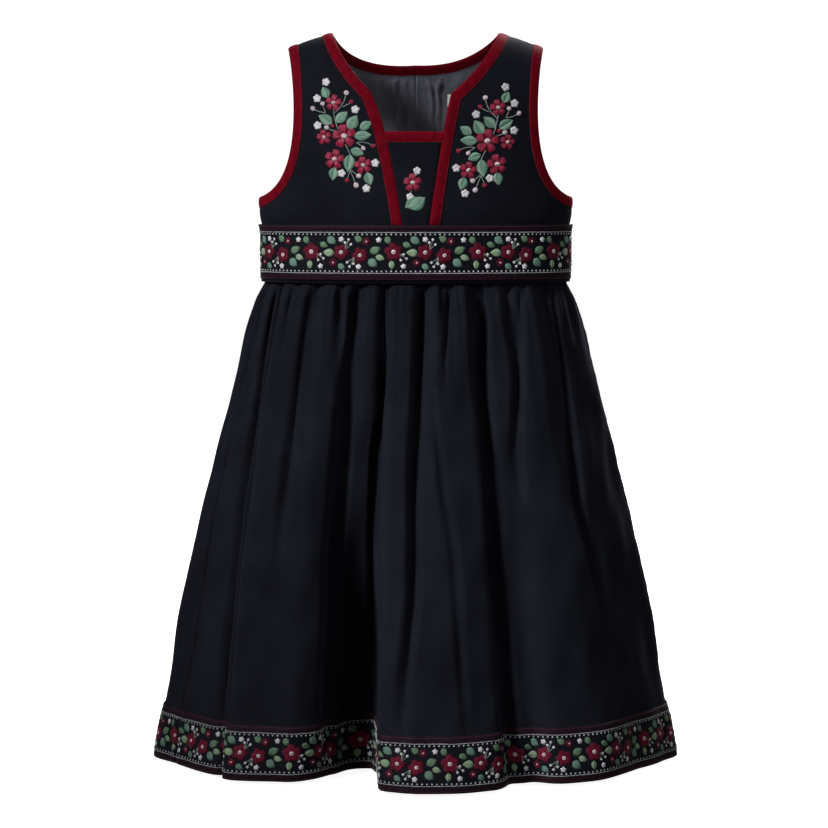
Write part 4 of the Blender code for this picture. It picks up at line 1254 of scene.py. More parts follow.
def ribbon_piece(name, ribbon, span):
    measures = (RIBBON_WIDTH, ribbon["cell"], ribbon["rise"], RIBBON_WALL)
    return strip_piece(f"{name}_ribbon", ribbon["place"], span, *measures, RIBBON)


ribbon_pieces = on_each_ribbon(ribbon_piece)
print("lengths of ribbon:", sorted(ribbon_pieces))

# %% [markdown]
# ## Stitches, threads and cords by Geometry Nodes
# Three node trees make the thousands of small threads. Each takes bare edges whose points
# carry the way out of the cloth and a colour. The first turns every edge into one round thread
# that arches off the cloth; the second sets a stitch at even spacing; the third winds a cord.
# %% Helpers for geometry trees
def new_tree(title, **sizes):
    """A geometry tree with its sizes and a material as inputs, and its input's sockets."""
    tree = bpy.data.node_groups.new(title, "GeometryNodeTree")
    tree.interface.new_socket("Geometry", in_out="INPUT", socket_type="NodeSocketGeometry")
    for name, value in sizes.items():
        kind = "NodeSocketInt" if isinstance(value, int) else "NodeSocketFloat"
        tree.interface.new_socket(name, in_out="INPUT", socket_type=kind).default_value = value
    tree.interface.new_socket("Material", in_out="INPUT", socket_type="NodeSocketMaterial")
    tree.interface.new_socket("Geometry", in_out="OUTPUT", socket_type="NodeSocketGeometry")
    return tree, tree.nodes.new("NodeGroupInput").outputs


def step(tree, kind, geometry, into="Geometry", links=(), **settings):
    return node(tree, kind, {into: geometry, **dict(links)}, **settings).outputs[0]


def ended(tree, geometry, material):
    smoothed = step(tree, "GeometryNodeSetShadeSmooth", geometry)
    real = step(tree, "GeometryNodeRealizeInstances", smoothed)
    painted = step(tree, "GeometryNodeSetMaterial", real, links={"Material": material})
    tree.links.new(painted, tree.nodes.new("NodeGroupOutput").inputs[0])
    return tree


def named(tree, name, kind="FLOAT_VECTOR"):
    found = node(tree, "GeometryNodeInputNamedAttribute", {"Name": name}, data_type=kind)
    return found.outputs["Attribute"]


def vector_node(tree, operation, first, second):
    given = {0: first, "Scale" if operation == "SCALE" else 1: second}
    return node(tree, "ShaderNodeVectorMath", given, operation=operation).outputs[0]


def tubes(tree, path, given, links=()):
    radius = times(tree, given["Thickness"], 0.5)
    ring = {"Resolution": given["Sides"], "Radius": radius}
    circle = node(tree, "GeometryNodeCurvePrimitiveCircle", ring).outputs["Curve"]
    links = {"Profile Curve": circle, "Fill Caps": True, **dict(links)}
    return step(tree, "GeometryNodeCurveToMesh", path, "Curve", links)


# %% A thread on every edge
def threads_tree():
    tree, given = new_tree("threads", Thickness=0.0005, Steps=5, Sides=5)
    curves = step(tree, "GeometryNodeMeshToCurve", given["Geometry"], "Mesh")
    finer = step(tree, "GeometryNodeResampleCurve", curves, "Curve", {"Count": given["Steps"]})
    share = node(tree, "GeometryNodeSplineParameter").outputs["Factor"]
    bow = math_node(tree, "SINE", times(tree, share, pi))
    rise = times(tree, bow, named(tree, "arch", "FLOAT"))
    lift = vector_node(tree, "SCALE", named(tree, "way_out"), rise)
    placed = step(tree, "GeometryNodeSetPosition", finer, links={"Offset": lift})
    full = math_node(tree, "MULTIPLY_ADD", bow, 0.45, 0.55)
    sized = step(tree, "GeometryNodeSetCurveRadius", placed, "Curve", {"Radius": full})
    return ended(tree, tubes(tree, sized, given, {"Scale": full}), given["Material"])


# %% A stitch at even spacing
def stitches_tree():
    tree, given = new_tree("stitches", Spacing=0.0026, Length=0.0018, Width=0.0006, Height=0.0004)
    curves = step(tree, "GeometryNodeMeshToCurve", given["Geometry"], "Mesh")
    spacing = {"Length": given["Spacing"]}
    even = step(tree, "GeometryNodeResampleCurve", curves, "Curve", spacing, mode="LENGTH")
    ball = node(tree, "GeometryNodeMeshUVSphere", {"Segments": 6, "Rings": 4, "Radius": 0.5})
    sizes = {0: given["Length"], 1: given["Width"], 2: given["Height"]}
    size = node(tree, "ShaderNodeCombineXYZ", sizes).outputs[0]
    axes = {0: node(tree, "GeometryNodeInputTangent").outputs[0], 1: named(tree, "way_out")}
    turned = node(
        tree, "FunctionNodeAxesToRotation", axes, primary_axis="X", secondary_axis="Z"
    ).outputs[0]
    links = {"Instance": ball.outputs[0], "Rotation": turned, "Scale": size}
    laid = step(tree, "GeometryNodeInstanceOnPoints", even, "Points", links)
    return ended(tree, laid, given["Material"])


# %% A cord wound round a path
def cord_tree():
    tree, given = new_tree("wound_cord", Thickness=0.0008, Coil=0.0002, Turn=0.003, Step=0.0006, Sides=4)
    curves = step(tree, "GeometryNodeMeshToCurve", given["Geometry"], "Mesh")
    spacing = {"Length": given["Step"]}
    even = step(tree, "GeometryNodeResampleCurve", curves, "Curve", spacing, mode="LENGTH")
    reached = node(tree, "GeometryNodeSplineParameter").outputs["Length"]
    angle = times(tree, math_node(tree, "DIVIDE", reached, given["Turn"]), tau)
    out, tangent = named(tree, "way_out"), node(tree, "GeometryNodeInputTangent").outputs[0]
    moves = []
    for way, turn in ((out, "SINE"), (vector_node(tree, "CROSS_PRODUCT", out, tangent), "COSINE")):
        reach = times(tree, math_node(tree, turn, angle), given["Coil"])
        moves.append(vector_node(tree, "SCALE", way, reach))
    offset = vector_node(tree, "ADD", *moves)
    wound = step(tree, "GeometryNodeSetPosition", even, links={"Offset": offset})
    return ended(tree, tubes(tree, wound, given), given["Material"])


TREES = {"threads": threads_tree(), "stitches": stitches_tree(), "cord": cord_tree()}
print("trees:", sorted(TREES))


# %% From edges to a finished mesh
def grown(name, tree, points, edges, outs, colours, arch=0, **sizes):
    """Runs a tree over bare edges and keeps what it makes as a plain mesh."""
    mesh = bpy.data.meshes.new(name)
    mesh.from_pydata([tuple(p) for p in points], [tuple(e) for e in edges], [])
    colours = np.broadcast_to(np.asarray(colours, float), (len(points), 3))
    colours = np.concatenate([colours, np.ones((len(points), 1))], axis=1)
    for title, kind, field, values in (
        ("way_out", "FLOAT_VECTOR", "vector", outs),
        ("colour", "FLOAT_COLOR", "color", colours),
        ("arch", "FLOAT", "value", np.broadcast_to(arch, (len(points),))),
    ):
        layer = mesh.attributes.new(title, kind, "POINT")
        layer.data.foreach_set(field, np.ascontiguousarray(values, dtype=np.float32).ravel())
    piece = added(name, mesh)
    change = piece.modifiers.new(tree, "NODES")
    change.node_group = TREES[tree]
    for socket in TREES[tree].interface.items_tree:
        if socket.in_out == "INPUT" and socket.name in sizes:
            change[socket.identifier] = sizes[socket.name]
    ready = piece.evaluated_get(bpy.context.evaluated_depsgraph_get())
    piece.data = bpy.data.meshes.new_from_object(ready)
    piece.modifiers.clear()
    piece.data.materials.clear()
    piece.data.materials.append(sizes["Material"])
    piece.data.polygons.foreach_set("material_index", [0] * len(piece.data.polygons))
    for spare in ("way_out", "arch"):
        if spare in piece.data.attributes:
            piece.data.attributes.remove(piece.data.attributes[spare])
    bpy.data.meshes.remove(mesh)
    return piece


def sewn_along(name, tree, points, outs, colour, **sizes):
    edges = [(k, k + 1) for k in range(len(points) - 1)]
    return grown(name, tree, points, edges, outs, colour, Material=SEWING, **sizes)

# %% [markdown]
# ## Flowers of the ribbon
# The ribbon's flowers repeat every 73 mm. One repeat is drawn flat from a short table: flowers
# with petals, leaves with a rib, berries and stalks, each a low dome with few faces. Copies are
# laid along the ribbon by its own measure, so they bend with every fold.
# %% Colours of the yarn
RED, RED_DARK, ROSE = (0.12, 0.0032, 0.019), (0.05, 0.0015, 0.01), (0.4, 0.05, 0.09)
WHITE, STALK = (0.66, 0.65, 0.67), (0.34, 0.4, 0.36)
GREENS = ((0.1, 0.176, 0.105), (0.215, 0.298, 0.188), (0.108, 0.19, 0.155))


# %% Flat shapes as (points, heights, faces, colours)
def fan(outline, middle, rim_height, height, rim_colour, colour, inner=0.55):
    """A low dome over an outline: its rim, an inner ring and the middle."""
    outline, middle = np.asarray(outline, float), np.asarray(middle, float)
    count = len(outline)
    points = np.vstack([outline, middle + (outline - middle) * inner, [middle]])
    heights = np.concatenate([np.full(count, rim_height), np.full(count, height), [height * 1.05]])
    following = [(k + 1) % count for k in range(count)]
    faces = [(k, i, count + i, count + k) for k, i in enumerate(following)]
    faces += [(count + k, count + i, 2 * count) for k, i in enumerate(following)]
    colours = np.vstack([np.tile(rim_colour, (count, 1)), np.tile(colour, (count + 1, 1))])
    return points, heights, faces, colours


def sliver(points, width, height, colour):
    points = np.asarray(points, float)
    run = unit(np.gradient(points, axis=0))
    aside = np.c_[-run[:, 1], run[:, 0]] * width / 2
    count = len(points)
    faces = [(k, k + 1, count + k + 1, count + k) for k in range(count - 1)]
    outline = np.vstack([points + aside, points - aside])
    return outline, np.full(2 * count, height), faces, np.tile(colour, (2 * count, 1))


def stacked(shapes):
    faces, count = [], 0
    for points, _, shape_faces, _ in shapes:
        faces += [tuple(count + i for i in face) for face in shape_faces]
        count += len(points)
    points, heights, _, colours = zip(*shapes)
    return np.vstack(points), np.concatenate(heights), faces, np.vstack(colours)


# %% Outlines
def round_outline(centre, reach, angle):
    return np.asarray(centre) + np.c_[reach * np.cos(angle), reach * np.sin(angle)]


def petals_outline(centre, radius, turn, steps=7, notch=0.42, power=0.55):
    """The outline of a flower whose five petals meet in notches."""
    angle = np.linspace(0, tau, 5 * steps, endpoint=False)
    swell = np.abs(np.cos(2.5 * angle)) ** power
    return round_outline(centre, radius * (1 - notch + notch * swell), angle + radians(turn))


def disc_outline(centre, radius, steps=10):
    return round_outline(centre, radius, np.linspace(0, tau, steps, endpoint=False))


def aim(turn):
    """A step of length 1 in a direction given in degrees."""
    return np.array([cos(radians(turn)), sin(radians(turn))])


def leaf_half(t, width):
    return width / 2 * np.sin(pi * t**0.8) ** 0.85


def leaf_outline(centre, length, width, turn, steps=6):
    t = np.linspace(0, 1, steps + 1)
    half, along = leaf_half(t, width), (t - 0.48) * length
    lower = np.c_[along[::-1], -half[::-1]][1:-1]
    c, s = aim(turn)
    return np.asarray(centre) + np.vstack([np.c_[along, half], lower]) @ [[c, s], [-s, c]]


# %% One repeat of the ribbon, in millimetres from its big flower
RIBBON_FLOWERS = (  # red ones with a ringed centre: across, up, size, turn
    (0, 0.6, 16.8, 95), (27.2, 0.2, 14.8, 70), (43.9, -2.4, 14.6, 110), (49.6, 9.6, 7.4, 60),
    (20, -8.8, 7.4, 100),
)
WHITE_FLOWERS = (  # across, up, size, turn
    (-12.7, 11, 5.2, 90), (27.4, 11.4, 5.2, 70), (8.5, -11.9, 5, 100), (42.6, -12.3, 5.2, 85),
)
LEAF_ROWS = (  # across, up, length, width, turn of the tip
    (-16, 2, 10.4, 7, 25), (-11.7, -4.5, 8.6, 5.4, -20), (-18.1, -9, 9.8, 7.6, -42),
    (-4.9, 10.7, 7.6, 5.8, -62), (-1.6, -10.6, 8, 5.2, -90), (18.6, 10.4, 9.8, 7, -38),
    (11.5, 6.6, 8.2, 5.2, -24), (16.2, -0.2, 10.4, 7, 176), (27.4, -12.3, 7.6, 5.4, -35),
    (42.5, 11.7, 7.8, 5.8, 148),
)
SPRIGS = (  # the stalk's foot, and the berries it carries
    ((3.9, -1.2), ((8.6, -1.6), (6.4, -6.6), (11.2, -5.2))),
    ((30.6, 2.4), ((33.8, 11.2), (30.8, 8.6), (36, 7))),
    ((38.6, -4.2), ((32.6, -8.6), (34.7, -12.2), (38.2, -9.7))),
)
RIM, LOW, HIGH = 0.00006, 0.00034, 0.0005


def one_repeat():
    shapes = []
    for foot, berries in SPRIGS:
        foot = np.array(foot) / 1000
        for berry in np.array(berries) / 1000:
            elbow = (foot + berry) / 2 + np.array([0.0006, 0.0003])
            shapes.append(sliver(bend((foot, berry), [elbow], 4), 0.00045, LOW * 0.6, STALK))
            shapes.append(fan(disc_outline(berry, 0.00125, 7), berry, RIM, HIGH, WHITE, WHITE))
    for k, (across, up, length, width, turn) in enumerate(LEAF_ROWS):
        middle = np.array([across, up]) / 1000
        outline = leaf_outline(middle, length / 1000, width / 1000, turn)
        # Painted highlight: each leaf's raised middle is drawn lighter than its rim.
        light = tuple(1.35 * c for c in GREENS[k % 3])
        shapes.append(fan(outline, middle, RIM, LOW, GREENS[k % 3], light))
        tip = aim(turn) * length / 1000
        rib = [middle - 0.44 * tip, middle, middle + 0.4 * tip]
        shapes.append(sliver(rib, 0.00035, HIGH * 0.95, GREENS[0]))
    for across, up, size, turn in RIBBON_FLOWERS:
        middle, radius = np.array([across, up]) / 1000, size / 2000
        petals = petals_outline(middle, radius, turn)
        shapes.append(fan(petals, middle, RIM, LOW, RED_DARK, RED, 0.72))
        for petal in range(5):
            vein = middle + np.outer([0.3, 0.74], aim(turn + 72 * petal)) * radius
            shapes.append(sliver(vein, 0.0005, LOW + 0.00008, RED_DARK))
        ring, dot = disc_outline(middle, radius * 0.23), disc_outline(middle, radius * 0.09, 7)
        shapes.append(fan(ring, middle, LOW, HIGH * 1.2, WHITE, WHITE, 0.62))
        shapes.append(fan(dot, middle, HIGH * 1.2, HIGH * 1.5, ROSE, ROSE))
    for across, up, size, turn in WHITE_FLOWERS:
        middle = np.array([across, up]) / 1000
        petals = petals_outline(middle, size / 2000, turn, steps=5, power=0.8)
        shapes.append(fan(petals, middle, RIM, HIGH, WHITE, WHITE))
    return shapes


RIBBON_SHAPES = one_repeat()
print("shapes in one repeat:", len(RIBBON_SHAPES))

# %% Laying the flowers along a ribbon
REPEAT = 0.0731
RIBBON_MIDDLE = 0.0239  # from the ribbon's top to the middle of its flowers
END_GAP = 0.0004  # from a flower to the end of its length of ribbon
PALE_YARN = 0.09  # the green of a pale yarn's colour is above this
YARN_BODY = 0.00022


def closed_below(piece, outs, colours):
    """Gives open shapes a thin closed body, like yarn, and their colours."""
    made = bmesh.new()
    made.from_mesh(piece.data)
    tint = made.verts.layers.float_color.new("colour")
    way = made.verts.layers.float_vector.new("way")
    for vert, out, colour in zip(made.verts, outs, colours):
        vert[tint] = (*colour, 1)
        vert[way] = out
    made.faces.ensure_lookup_table()
    first = made.faces[0]
    if first.normal @ first.verts[0][way] < 0:
        bmesh.ops.reverse_faces(made, faces=made.faces)
    extruded = bmesh.ops.extrude_face_region(made, geom=made.faces[:], use_keep_orig=True)
    for vert in extruded["geom"]:
        if isinstance(vert, bmesh.types.BMVert):
            vert.co -= vert[way] * YARN_BODY
    made.verts.layers.float_vector.remove(way)
    outward(made, piece.data)
    return piece


def flowers_start(ribbon):
    along = np.linspace(*ribbon["spans"]["front"], 2001)
    points, _ = ribbon["place"](along, np.full(len(along), RIBBON_MIDDLE))
    return float(along[np.argmin(np.abs(points[:, 0] - ribbon["first_flower"]))]) % REPEAT


def ribbon_flowers(name, ribbon, span):
    """All the shapes whose middle lies on one length of ribbon, as one piece."""
    repeats = round(ribbon["round"] / REPEAT)
    stretch = ribbon["round"] / repeats / REPEAT
    start, shapes = flowers_start(ribbon), []
    for k in range(-1, repeats + 1):
        shift = start + k * REPEAT * stretch
        for flat, *rest in RIBBON_SHAPES:
            if span[0] <= shift + flat[:, 0].mean() * stretch < span[1]:
                placed = flat * np.array([stretch, -1]) + np.array([shift, RIBBON_MIDDLE])
                placed[:, 0] = np.clip(placed[:, 0], span[0] + END_GAP, span[1] - END_GAP)
                shapes.append((placed, *rest))
    flat, heights, faces, colours = stacked(shapes)
    # Painted shade and light: pale yarn is dimmed on the hem ribbon and brightened a little on the waist
    # ribbon.
    colours = colours * np.where(colours[:, 1:2] > PALE_YARN, ribbon["wear"], 1)
    surface, outs = ribbon["place"](flat[:, 0], flat[:, 1])
    surface = surface + outs * (ribbon["rise"] + RIBBON_WALL / 2 + heights)[:, None]
    return closed_below(new_piece(f"{name}_flowers", surface, faces, FLOAT, flat), outs, colours)


flowers = on_each_ribbon(ribbon_flowers)
tell_faces(flowers)

# %% Pale line and dots along both edges of a ribbon
LINE_SIZES = {"Thickness": 0.0007, "Coil": 0.00022, "Turn": 0.0026, "Step": 0.00065}
DOT_SIZES = {"Spacing": 0.0042, "Length": 0.0015, "Width": 0.0016, "Height": 0.0007}
TRIMS = (  # tree, metres from the edge, colour, sizes
    ("cord", 0.0065, (0.42, 0.43, 0.45), LINE_SIZES),
    ("stitches", 0.0082, (0.6, 0.61, 0.63), DOT_SIZES),
)
TRIM_RISE, TRIM_ENDS, TRIM_STEP = 0.0001, 0.0006, 0.0012


def joined(name, objects):
    made = bmesh.new()
    mesh = bpy.data.meshes.new(name)
    mesh.materials.append(objects[0].data.materials[0])
    for obj in objects:
        old = obj.data
        made.from_mesh(old)
        bpy.data.objects.remove(obj)
        bpy.data.meshes.remove(old)
    made.to_mesh(mesh)
    made.free()
    return added(name, mesh)


def ribbon_trim(name, ribbon, span):
    along = np.arange(span[0] + TRIM_ENDS, span[1] - TRIM_ENDS, TRIM_STEP)
    made = []
    for down_from_edge in (lambda inset: inset, lambda inset: RIBBON_WIDTH - inset):
        for tree, inset, colour, sizes in TRIMS:
            points, outs = ribbon["place"](along, np.full(len(along), down_from_edge(inset)))
            points = points + outs * (ribbon["rise"] + RIBBON_WALL / 2 + TRIM_RISE)
            # Painted shade: the trim on the hem is dimmed like the hem's pale yarn.
            colour = np.multiply(colour, min(ribbon["wear"], 1))
            made.append(sewn_along(name, tree, points, outs, colour, **sizes))
    return joined(f"{name}_trim", made)


trims = on_each_ribbon(ribbon_trim)
tell_faces(trims)

# %% [markdown]
# ## Sewn flowers on the chest
# Each front carries a spray of satin stitch, and the insert one small flower. A table gives
# each flower, leaf and bud its place, size and turn, functions lay out the two ends of each
# thread on the flat cloth, and the node tree spins the threads and arches them over padding.
# %% The left spray, in millimetres seen from the front
SILK_RED, SILK_RED_LIGHT, SILK_RED_DARK = (0.3, 0.014, 0.048), (0.41, 0.032, 0.079), (0.125, 0.004, 0.021)
SILK_GREEN, SILK_GREEN_LIGHT = (0.165, 0.31, 0.228), (0.255, 0.41, 0.318)
SILK_WHITE, SILK_WHITE_DULL, SILK_BLUSH = (0.78, 0.74, 0.77), (0.64, 0.63, 0.66), (0.74, 0.53, 0.57)
SILK_STALK, SILK_STALK_DULL = (0.38, 0.44, 0.41), (0.31, 0.37, 0.335)
SPRAY = {
    "red": (  # across, up, size, turn
        (-70.7, -56, 13.6, 80), (-61.5, -84.7, 20, 98), (-79.1, -85.4, 12.6, 100),
        (-69.8, -104.4, 16.6, 78), (-45.2, -109.7, 14.4, 100),
    ),
    "white": (
        (-77.5, -38.1, 7.4, 70), (-85.2, -52.1, 7.4, 95), (-51.9, -61.9, 7.4, 80),
        (-84.8, -75.3, 7.4, 100), (-34.9, -107.9, 7.4, 85), (-63.7, -116.6, 7.2, 75),
        (-42.5, -129.7, 7.4, 95),
    ),
    "buds": (  # across, up, size, whether it is white
        (-80.4, -56.6, 4.2, True), (-89, -60.6, 4.6, True), (-59.7, -47.6, 4.8, True),
        (-76.8, -77.1, 4.6, True), (-45.1, -95.1, 4.4, True), (-49, -118.8, 4.8, True),
        (-51.3, -126.8, 5.2, True), (-55.4, -55.5, 4.4, False), (-71.7, -75.7, 3.8, False),
        (-36.6, -93.1, 4.6, False), (-59.3, -122.7, 4.6, False),
    ),
    "leaves": (  # across, up, length, width, turn of the tip
        (-77.9, -46.9, 10, 8, 118), (-77.8, -70.1, 13.2, 9, 150), (-63.6, -68.4, 12.6, 8.6, 42),
        (-54, -72.8, 13, 10, 58), (-43, -75.5, 11, 7.6, 32), (-45.5, -84.3, 14, 8.4, 4),
        (-50.3, -98.4, 11, 7.6, -20), (-57.4, -108.1, 14.6, 9.4, 262),
        (-71, -117.1, 10.6, 8.2, 262), (-40.4, -121.5, 10.6, 8.2, 288),
    ),
    "stalks": (
        ((-71, -61.5), (-69.8, -72), (-66.6, -79)),
        ((-60.4, -50), (-61, -57.5), (-70, -65)), ((-55.8, -56.4), (-63, -59.8)),
        ((-88, -61.4), (-82, -64.6), (-77.6, -64.4)), ((-80.2, -58.8), (-77.6, -64.4)),
        ((-75, -78.4), (-71, -80.4), (-66.8, -80.2)),
        ((-60.8, -91.6), (-57.6, -97), (-56, -101.4)), ((-45.4, -93.8), (-51, -90.4)),
        ((-38, -92.2), (-45, -88.8), (-51, -90.4)), ((-56.4, -114.6), (-59, -121.2)),
        ((-56.2, -114.4), (-52, -125)), ((-56, -113.6), (-50, -118.4)),
    ),
}
MOTIF = {
    "red": ((-2.7, -124.7, 15, 92),),
    "white": ((1.1, -114.5, 7, 90), (-5, -136.8, 6.6, 80)),
    "buds": (),
    "leaves": ((-3.2, -142.2, 13.6, 10.4, 214), (1.8, -142.4, 15, 11.6, 38)),
    "stalks": (((0.6, -117.6), (-0.6, -119.6)), ((-3.4, -131.4), (-4.4, -134.4))),
}
RIGHT_SPRAY = (0, -4.3)  # how the mirrored spray is moved
THREAD, THREAD_STEP = 0.00052, 0.43  # thickness in metres, and spacing in millimetres
THREAD_RISE = 0.00018
PETAL_FOOT_TURN, PETAL_TIP_TURN = degrees(0.46), degrees(0.53)  # half of a petal's spread
print("leaves in a spray:", len(SPRAY["leaves"]))


# %% Threads as (start, end, arch, colour)
def petal_threads(row, shades, inner=0.2):
    centre, radius = np.array(row[:2]), row[2] / 2
    count = max(6, round(radius * 1.1 / THREAD_STEP))
    threads = []
    for petal in range(5):
        way = row[3] + 72 * petal
        for k in range(count):
            q = (k + 0.5) / count * 2 - 1
            reach = radius * (1 - 0.26 * abs(q) ** 2.6 - 0.05 * cos(q * pi * 0.5) ** 8)
            start = centre + radius * inner * aim(way + q * PETAL_FOOT_TURN)
            end = centre + reach * aim(way + q * PETAL_TIP_TURN)
            shade = shades[0] if abs(q) > 0.78 else shades[1 + (k % 3 == 0)]
            threads.append((start, end, 0.1 * radius, shade))
    return threads


def disc_threads(row, shades, lift=0):
    centre, radius = np.array(row[:2]), row[2] / 2
    count = max(5, round(row[2] / THREAD_STEP))
    along = aim(70 + 25 * sin(7 * row[0]))
    aside = np.array([-along[1], along[0]])
    threads = []
    for k in range(count):
        q = (k + 0.5) / count * 2 - 1
        half = radius * sqrt(1 - q * q)
        middle = centre + aside * q * radius
        arch = 0.26 * half + 0.1 + lift
        threads.append((middle - along * half, middle + along * half, arch, shades[k % 2]))
    return threads


def leaf_threads(row, shades):
    centre, length, width = np.array(row[:2]), row[2], row[3]
    along = aim(row[4])
    aside = np.array([-along[1], along[0]])
    count = max(8, round(length / THREAD_STEP))
    threads = []
    for side in (-1, 1):
        for k in range(count + 1):
            foot = -0.04 + 0.92 * k / count
            tip = min(1, foot + 0.16)
            half = leaf_half(tip, width)
            start = centre + along * (foot - 0.48) * length + aside * side * 0.12
            end = centre + along * (tip - 0.48) * length + aside * side * (half + 0.05)
            threads.append((start, end, 0.1 * half + 0.08, shades[side > 0]))
    return threads


def stalk_threads(points, shades):
    line = bend((points[0], points[-1]), points[1:-1], 40)
    reached = run_along(line)
    threads = []
    for k, start in enumerate(np.arange(0, reached[-1] - 0.4, 0.9)):
        ends = []
        for where, aside in ((start, 0.14), (min(start + 2.2, reached[-1]), -0.14)):
            at, ahead, behind = read_at(where + np.array([0, 0.1, -0.1]), reached, line)
            run = unit(ahead - behind)
            ends.append(at + np.array([-run[1], run[0]]) * aside)
        threads.append((*ends, 0.16, shades[k % 2]))
    return threads


# %% A spray as threads and padding
def spray_threads(red, white, buds, leaves, stalks):
    threads = []
    for points in stalks:
        threads += stalk_threads(points, (SILK_STALK, SILK_STALK_DULL))
    for row in leaves:
        threads += leaf_threads(row, (SILK_GREEN, SILK_GREEN_LIGHT))
    for across, up, size, pale in buds:
        shades = (SILK_WHITE, SILK_BLUSH) if pale else (SILK_RED, SILK_RED_LIGHT)
        threads += disc_threads((across, up, size * 0.88), shades)
    for row in white:
        threads += petal_threads(row, (SILK_WHITE, SILK_WHITE, SILK_WHITE_DULL), 0.1)
    for across, up, size, turn in red:
        shades = (SILK_RED_DARK, SILK_RED, SILK_RED_LIGHT)
        threads += petal_threads((across, up, size * 1.07, turn), shades)
        threads += disc_threads((across, up, size * 0.25), (SILK_BLUSH, SILK_WHITE), 0.75)
        threads += disc_threads((across, up, size * 0.1), (SILK_RED_LIGHT, SILK_RED), 1.1)
    return threads


def spray_padding(red, white, leaves):
    pads = []
    for rows, share, height, shade in ((red, 0.93, 0.35, SILK_RED_DARK), (white, 0.9, 0.3, SILK_WHITE)):
        for across, up, size, turn in rows:
            outline = petals_outline((across, up), size / 2 * share, turn, notch=0.34)
            pads.append(fan(outline, (across, up), 0.05, height, shade, shade, 0.6))
    for across, up, length, width, turn in leaves:
        outline = leaf_outline((across, up), length * 0.95, width * 0.93, turn, 8)
        pads.append(fan(outline, (across, up), 0.05, 0.32, SILK_GREEN, SILK_GREEN, 0.6))
    return stacked(pads)


def on_front(flat, outline):
    """(points on the wool's outer face, ways out) of places seen from the front."""
    base = drawn_on(flat)
    turned = laid_flat(as_turns(base))
    within, away = to_outline(laid_flat(outline), turned)
    outs = way_out(base)
    rise = ripple(turned, np.where(within, away, 0), base[:, 2]) + CLOTH / 2
    return base + outs * rise[:, None], outs


def embroidered(name, tables, outline, flip=1, moved=(0, 0)):

    def placed(flat, rise):
        points, outs = on_front((flat * np.array([flip, 1]) + np.array(moved)) / 1000, outline)
        return points + outs * rise, outs

    threads = spray_threads(**tables)
    starts, ends, lifts, shades = (np.array(values) for values in zip(*threads))
    points, outs = placed(np.stack([starts, ends], axis=1).reshape(-1, 2), THREAD_RISE)
    edges = np.arange(len(points)).reshape(-1, 2).tolist()
    colours, arch = np.repeat(shades, 2, axis=0), np.repeat(lifts, 2) / 1000
    silk = grown("silk", "threads", points, edges, outs, colours, arch, Thickness=THREAD, Material=SILK)
    flat, heights, faces, tints = spray_padding(tables["red"], tables["white"], tables["leaves"])
    points, outs = placed(flat, heights[:, None] / 1000)
    pads = closed_below(new_piece("pads", points, faces, SILK, flat / 1000), outs, tints)
    return joined(name, [silk, pads])


embroidery = {
    "bodice_front_left": embroidered("spray_left_silk", SPRAY, front_outline(-1)),
    "bodice_front_right": embroidered("spray_right_silk", SPRAY, front_outline(1), -1, RIGHT_SPRAY),
    "front_insert": embroidered("insert_motif_silk", MOTIF, insert_outline()),
}
tell_faces(embroidery)

# %% [markdown]
# ## Seams and topstitching
# Every binding is stitched down beside its inner edge, the ribbons along both edges, and the
# skirt's seams show as a row of small dips. Each row follows a line of the piece it holds.
# %% Stitches along the bindings
# CRIMSON is the binding's thread, drawn lighter than the velvet so its rows also give a painted highlight
# along the binding's inner edge.
CRIMSON, NAVY, PLUM = (0.2, 0.026, 0.042), (0.02, 0.022, 0.032), (0.075, 0.022, 0.04)
LABEL_THREAD = (0.55, 0.55, 0.53)
STITCH = {"Spacing": 0.0027, "Length": 0.0021, "Width": 0.00045, "Height": 0.0004}
SKIRT_STITCH = {**STITCH, "Spacing": 0.0034, "Length": 0.0016, "Width": 0.0006}
BINDING_SEWN_AT, BINDING_SKIN = 0.009, 0.00112


def stitch_row(points, outs, colour):
    return sewn_along("row", "stitches", points, outs, colour, **STITCH)


def binding_stitches(name, line_at, lower):
    path = line_at(BINDING_SEWN_AT)
    outs = way_out(path)
    rows = []
    for sign in (1, -1):
        rows.append(stitch_row(path + outs * (sign * BINDING_SKIN - lower), outs * sign, CRIMSON))
    return joined(name, rows)


stitching = {}
for solid, (word, line_at, _, lower) in BOUND_EDGES.items():
    stitching[solid] = binding_stitches(f"{word}_stitches", line_at, lower)
print("rows of stitches on bindings:", 2 * len(stitching))


# %% Stitches along the ribbons and the label
RIBBON_SEWN_AT, ROW_ENDS, ROW_STEP = 0.0014, 0.001, 0.0015
LABEL_SEWN_AT, LABEL_SKIN = 0.0009, 0.0036


def ribbon_stitches(name, ribbon, span):
    rows = []
    for down in (RIBBON_SEWN_AT, RIBBON_WIDTH - RIBBON_SEWN_AT):
        along = np.arange(span[0] + ROW_ENDS, span[1] - ROW_ENDS, ROW_STEP)
        points, outs = ribbon["place"](along, np.full(len(along), down))
        points = points + outs * (ribbon["rise"] + RIBBON_WALL / 2)
        rows.append(stitch_row(points, outs, PLUM))
    return joined(f"{name}_stitches", rows)


def label_stitches():
    rows = []
    for side in (-1, 1):
        z = np.linspace(LABEL_PLACE[1] - 0.005, LABEL_PLACE[1] + 0.005, 12)
        x = np.full(12, LABEL_PLACE[0] + side * (LABEL_SIZE[0] / 2 - LABEL_SEWN_AT))
        points, outs = on_back(x, z)
        rows.append(stitch_row(points - outs * LABEL_SKIN, -outs, LABEL_THREAD))
    return joined("label_stitches", rows)


stitching.update(on_each_ribbon(ribbon_stitches))
stitching["size_label"] = label_stitches()
print("stitched:", sorted(stitching))


# %% The skirt's seams, overcast
SEAM_NAMES = ("side_seam_left_stitches", "side_seam_right_stitches", "centre_back_stitches")
SEAM_RUN = (0.012, 0.9, 260)  # share of the length at the start and the end, and points
SEAM_SKIN = 0.0005


